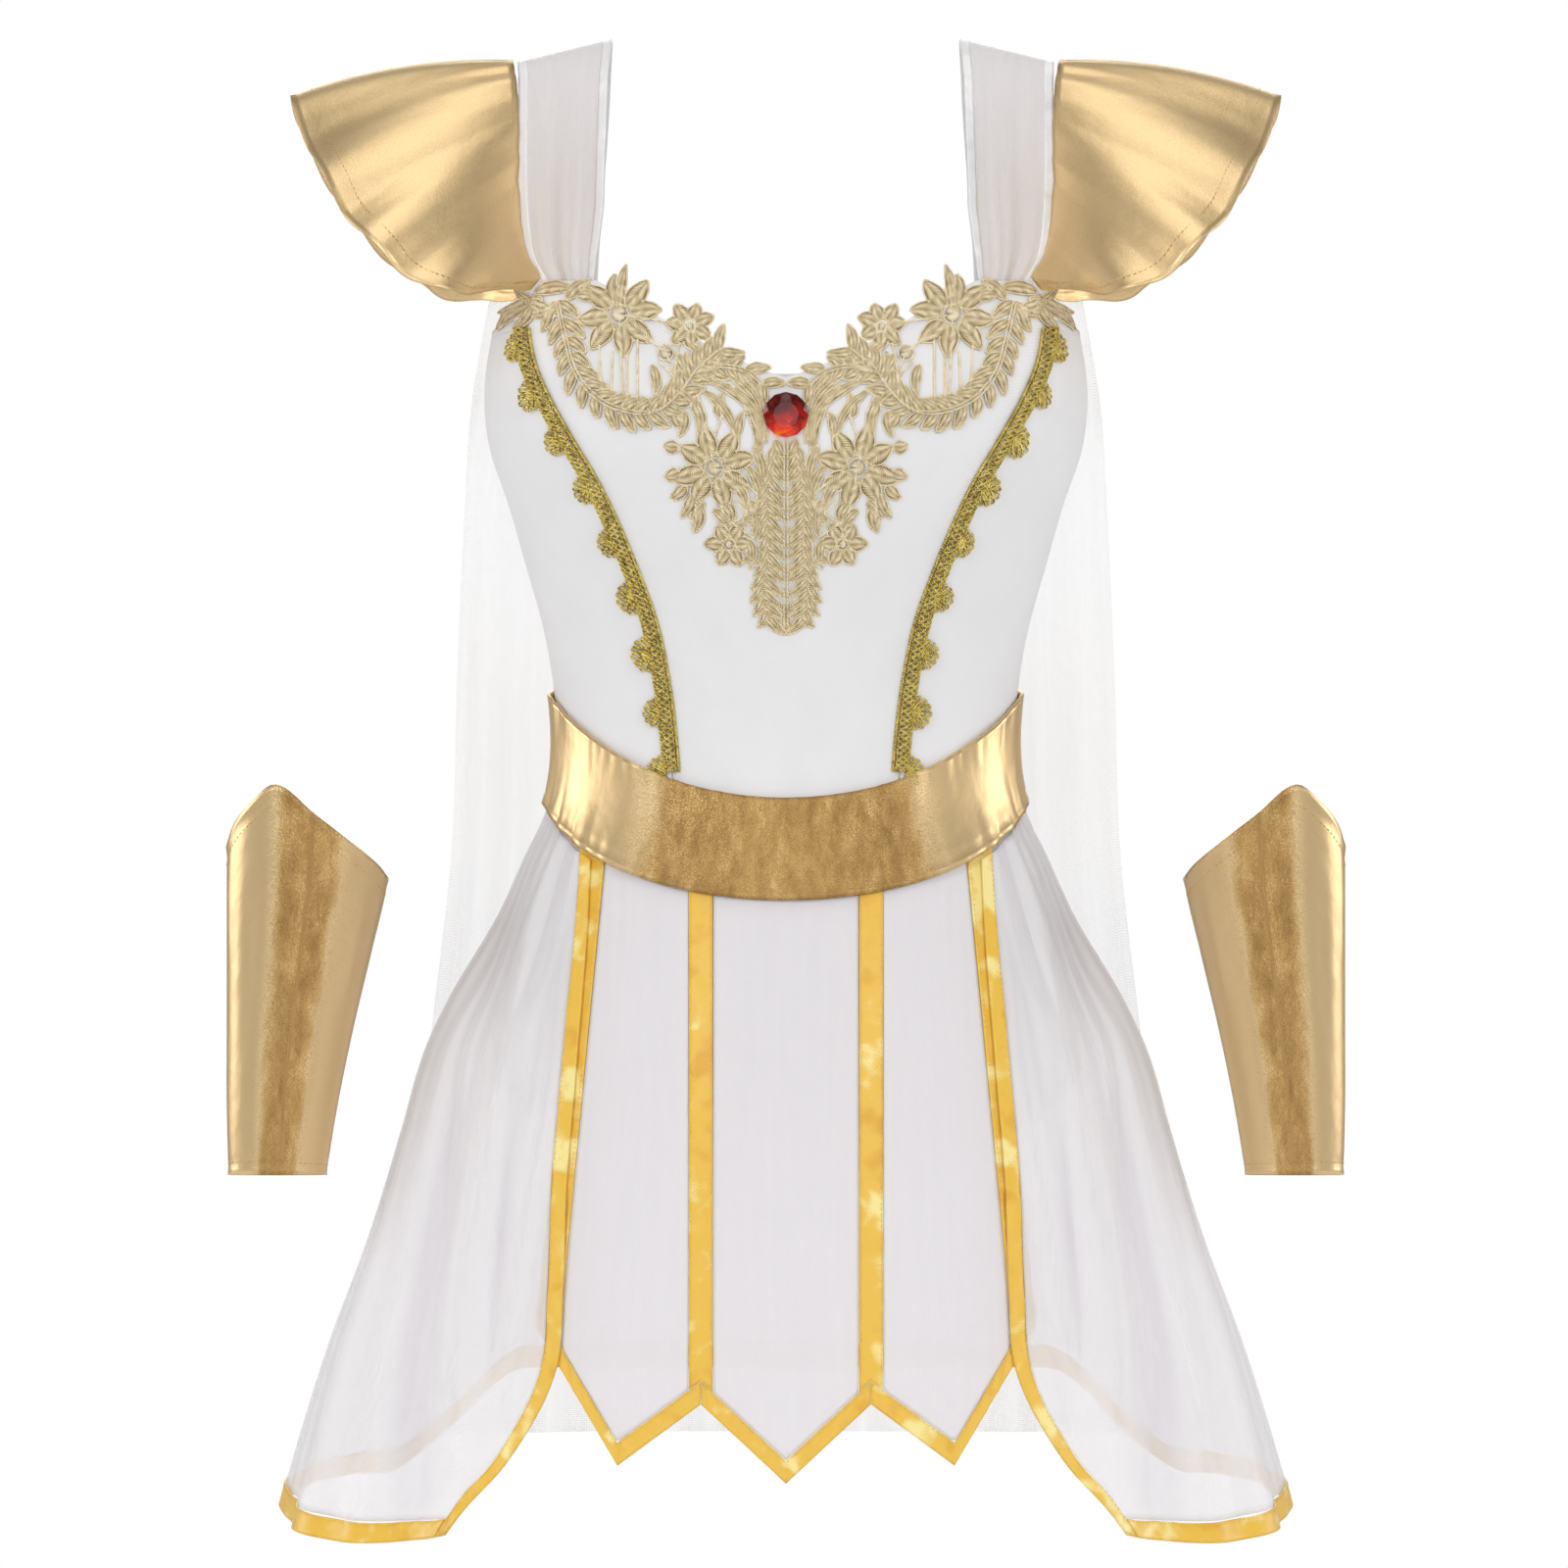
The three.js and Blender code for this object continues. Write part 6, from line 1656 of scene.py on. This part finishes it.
def braidLine(offset, lift, side, phase=None):
    # a line along the braid; with a phase it weaves from edge to edge, over and under
    foot = frontAngle(princess(braid["foot"]), braid["foot"])
    height = np.linspace(braid["top"], float(beltTop(foot)) + 4, 300)
    across = princess(height) + offset
    if phase is not None:
        step = np.hypot(np.diff(across), np.diff(height))
        turns = np.concatenate([[0], np.cumsum(step)]) / braid["period"] * 2 * np.pi + phase
        across = across + braid["width"] * np.sin(turns)
        lift = lift + 0.95 * np.cos(2 * turns)
    points, out = overForm(-across, height, lift + 0 * height)
    return points * [side, 1, 1], out * [side, 1, 1], False


for side, name in ((1, "left"), (-1, "right")):
    woven = {"Strands": 2, "Lay": 0.5 * metre, "Strand": 0.6 * metre, "Pitch": 3.0 * metre * side,
             "Step": 1.0 * metre, "Sides": 5}
    edge = {"Strands": 2, "Lay": 0.55 * metre, "Strand": 0.62 * metre, "Pitch": 2.2 * metre * side,
            "Step": 0.8 * metre, "Sides": 5}
    plait = [braidLine(0, braid["lift"], side, phase) for phase in (0.0, 1.57, 3.14, 4.71)]
    parts = [
        runTree("gimp_plait_" + name, laidCord, pathMesh("gimp", plait), gimp, woven),
        runTree("gimp_edge_" + name, laidCord, pathMesh("gimp", [braidLine(-braid["edge"], 2.4, side),
                                                               braidLine(braid["edge"] - 0.8, 2.2, side)]),
                gimp, edge),
    ]
    line, out, _ = braidLine(braid["fanFrom"], braid["lift"] - 0.3, side)
    length = np.linalg.norm(np.diff(line, axis=0), axis=-1).sum() * metre
    order = -1 if side > 0 else 1
    path = pathMesh("fans", [(line[12:][::order], out[12:][::order], False)])
    parts.append(runTree("gimp_fans_" + name, loopFan, path, gimp, {
        "Spacing": length / braid["fans"], "Reach": braid["fanReach"] * metre, "Loop": 4.4 * metre,
        "Cord": 0.75 * metre, "Spread": 2.5, "Seed": 9}))
    place(joinPieces("gimp_braid_" + name, parts), ["braid_" + name])
print("stage: braid made")

# Gem: a round stone with a table, kite and girdle facets and a flat back
gem = {"radius": 13, "table": 7.2, "depth": 7, "height": -214, "girdle": 2.4, "sides": 12}


def gemPiece():
    low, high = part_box("gem")
    back = high.y / metre
    sides = gem["sides"]
    rings = [(gem["radius"] * 0.9, 0.0, 0.0), (gem["radius"], gem["girdle"], 0.0),
             ((gem["radius"] + gem["table"]) / 2 * 1.03, gem["depth"] * 0.72, 0.5), (gem["table"], gem["depth"], 0.0)]
    points, faces = [], []
    for radius, depth, shift in rings:
        turn = (np.arange(sides) + shift) / sides * 2 * np.pi
        points += np.stack([radius * np.cos(turn), np.full(sides, back - depth),
                            gem["height"] + radius * np.sin(turn)], -1).tolist()
    for k in range(sides):
        n = (k + 1) % sides
        faces.append([k, n, sides + n, sides + k])
        kite, table = 2 * sides + k, 3 * sides
        faces.append([sides + k, sides + n, kite])
        faces.append([sides + n, 2 * sides + n, table + n])
        faces.append([sides + n, table + n, kite])
        faces.append([kite, table + n, table + k])
    faces.append(list(range(sides)))
    faces.append([3 * sides + k for k in range(sides)])
    return outwardFaces(plainObject("gem_stone", points, faces, resin, smoothShade=False))


place(gemPiece(), ["gem"])
print("stage: gem made")


# Stitch rows on ribbons, cap hems, gauntlet hems and the bodice's top edge
def bothSides(lines):
    return lines + flippedLines(lines, -1)


ribbonTop = 1.75
yellowLines = bothSides([
    liftedLine(seamRibbon, 0.08, steps(120, 0.03, 0.99), ribbonTop),
    liftedLine(seamRibbon, 0.92, steps(120, 0.03, 0.99), ribbonTop),
    liftedLine(goreEdgeRibbon, 0.08, steps(120, 0.03, 0.99), ribbonTop),
    liftedLine(panelEdgeRibbon, 0.9, steps(160, 0.01, 0.97), ribbonTop),
    liftedLine(panelHemRibbon, steps(200, 0.01, 0.99), 0.1, ribbonTop),
    liftedLine(goreHemRibbon, steps(100, 0.01, 0.99), 0.1, ribbonTop),
]) + [
    liftedLine(centreHem, steps(100, -0.99, 0.99), 0.1, ribbonTop),
    liftedLine(backHemRibbon, steps(260, 0.01, 0.99), 0.1, ribbonTop),
]
stitchPieces = [("stitches_ribbon", yellowLines, yellowThread, "yellow_satin", 3.2)]
leftGauntlet = [
    liftedLine(gauntlet, steps(90)[:-1], 0.055, 0.15, gauntletCentre, True),
    liftedLine(gauntlet, steps(90)[:-1], 0.965, 0.15, gauntletCentre, True),
]
goldLines = bothSides(leftGauntlet + [liftedLine(mirrored(cap), steps(160, 0.02, 0.98), 0.9, 1.5, capCentre)])
stitchPieces.append(("stitches_lame", goldLines, goldThread, "gold_lame", 3.4))
whiteLines = bothSides([
    liftedLine(lambda s, t: bodiceSide(s, t), steps(50, 0.03, 0.97), 0.022, 1.15),
]) + [
    liftedLine(bodiceFront, steps(140, -0.98, 0.98), 0.024, 1.15),
    liftedLine(bodiceBack, steps(140, 0.01, 0.99), 0.026, 1.15),
]
stitchPieces.append(("stitches_bodice", whiteLines, whiteThread, "white_knit", 3.0))
for name, lines, material, slot, spacing in stitchPieces:
    row = runTree(name, stitchRow, pathMesh("rows", lines), material,
                  {"Spacing": spacing * metre, "Length": spacing * 0.7 * metre, "Width": 0.55 * metre})
    place(row, [])
print("stage: stitches made")

# Floor, light and camera
stageSizes = {"floor": -1.06, "floorRadius": 2.1, "white": "#F7F7F7"}
floorMaterial, floorTree, floorShader = newMaterial("matt white studio floor", Roughness=0.9)
floorNoise = addNode(floorTree, "ShaderNodeTexNoise", {"Scale": 3.0})
floorTone = addNode(floorTree, "ShaderNodeValToRGB", {"Fac": floorNoise.outputs["Fac"]})
floorTree.links.new(rampColours(floorTone, (0.0, "#F4F4F4"), (1.0, "#F9F9F9")), floorShader.inputs["Base Color"])
turn = steps(64, 0, 2 * np.pi)[:-1]
floorPoints = np.stack([np.cos(turn), np.sin(turn), 0 * turn], -1) * stageSizes["floorRadius"] / metre
floor = plainObject("studio_floor", floorPoints + [0, 0, stageSizes["floor"] / metre], [list(range(64))],
                    floorMaterial, smoothShade=False)
floor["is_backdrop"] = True

# Lamps: x, y, z, size, power
lampRows = [("key", -1.9, -3.2, 1.1, 1.8, 40), ("fill", 1.9, -3.2, 0.9, 1.8, 36), ("top", 0, -0.6, 2.4, 2.0, 20),
            ("rimLeft", -2.4, 0.6, 0.0, 1.2, 15), ("rimRight", 2.4, 0.6, 0.0, 1.2, 15),
            ("front", 0, -4.2, -0.6, 1.5, 13), ("rear", 0, 3.0, 0.6, 2.0, 30)]
lookAt = np.array([0, 0, -0.42])
for name, x, y, z, size, power in lampRows:
    lamp = bpy.data.lights.new("lamp_" + name, "AREA")
    lamp.size = size
    lamp.energy = power
    holder = bpy.data.objects.new("lamp_" + name, lamp)
    bpy.context.scene.collection.objects.link(holder)
    holder.location = (x, y, z)
    holder.rotation_euler = Vector(lookAt - np.array([x, y, z])).to_track_quat("-Z", "Y").to_euler()

world = bpy.data.worlds.new("white studio")
bpy.context.scene.world = world
world.use_nodes = True
worldTree = world.node_tree
worldTree.nodes.clear()
ray = addNode(worldTree, "ShaderNodeLightPath")
seen = addNode(worldTree, "ShaderNodeBackground", {"Color": (1, 1, 1, 1), "Strength": 1.0})
# darker flags to both sides, which the metal shows as soft bands
way = addNode(worldTree, "ShaderNodeTexCoord")
parted = addNode(worldTree, "ShaderNodeSeparateXYZ", {"Vector": way.outputs["Generated"]})
sideways = addNode(worldTree, "ShaderNodeMath", {0: parted.outputs["X"]}, operation="ABSOLUTE")
flags = addNode(worldTree, "ShaderNodeValToRGB", {"Fac": sideways.outputs[0]})
flagged = rampColours(flags, (0.0, "#C4C2BE"), (0.22, "#F4F4F6"), (0.5, "#989289"), (0.72, "#ACA79F"),
                      (0.86, "#FFFFFF"), (1.0, "#C9C7C4"))
around = addNode(worldTree, "ShaderNodeBackground", {"Color": flagged, "Strength": 0.5})
mixed = addNode(worldTree, "ShaderNodeMixShader", {0: ray.outputs["Is Camera Ray"], 1: around.outputs[0],
                                                   2: seen.outputs[0]})
addNode(worldTree, "ShaderNodeOutputWorld", {"Surface": mixed.outputs[0]})

view = {"distance": 20.0, "width": 0.9, "centre": (-0.0011, -0.4247), "sensor": 36.0}
cameraData = bpy.data.cameras.new("camera")
cameraData.sensor_width = view["sensor"]
cameraData.lens = view["sensor"] * view["distance"] / view["width"]
camera = bpy.data.objects.new("camera", cameraData)
bpy.context.scene.collection.objects.link(camera)
camera.location = (view["centre"][0], -view["distance"], view["centre"][1])
camera.rotation_euler = (np.pi / 2, 0, 0)
bpy.context.scene.camera = camera
bpy.context.scene.view_settings.view_transform = "Standard"
bpy.context.scene.cycles.transparent_max_bounces = 32
print("stage: floor, light and camera made")

low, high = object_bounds()
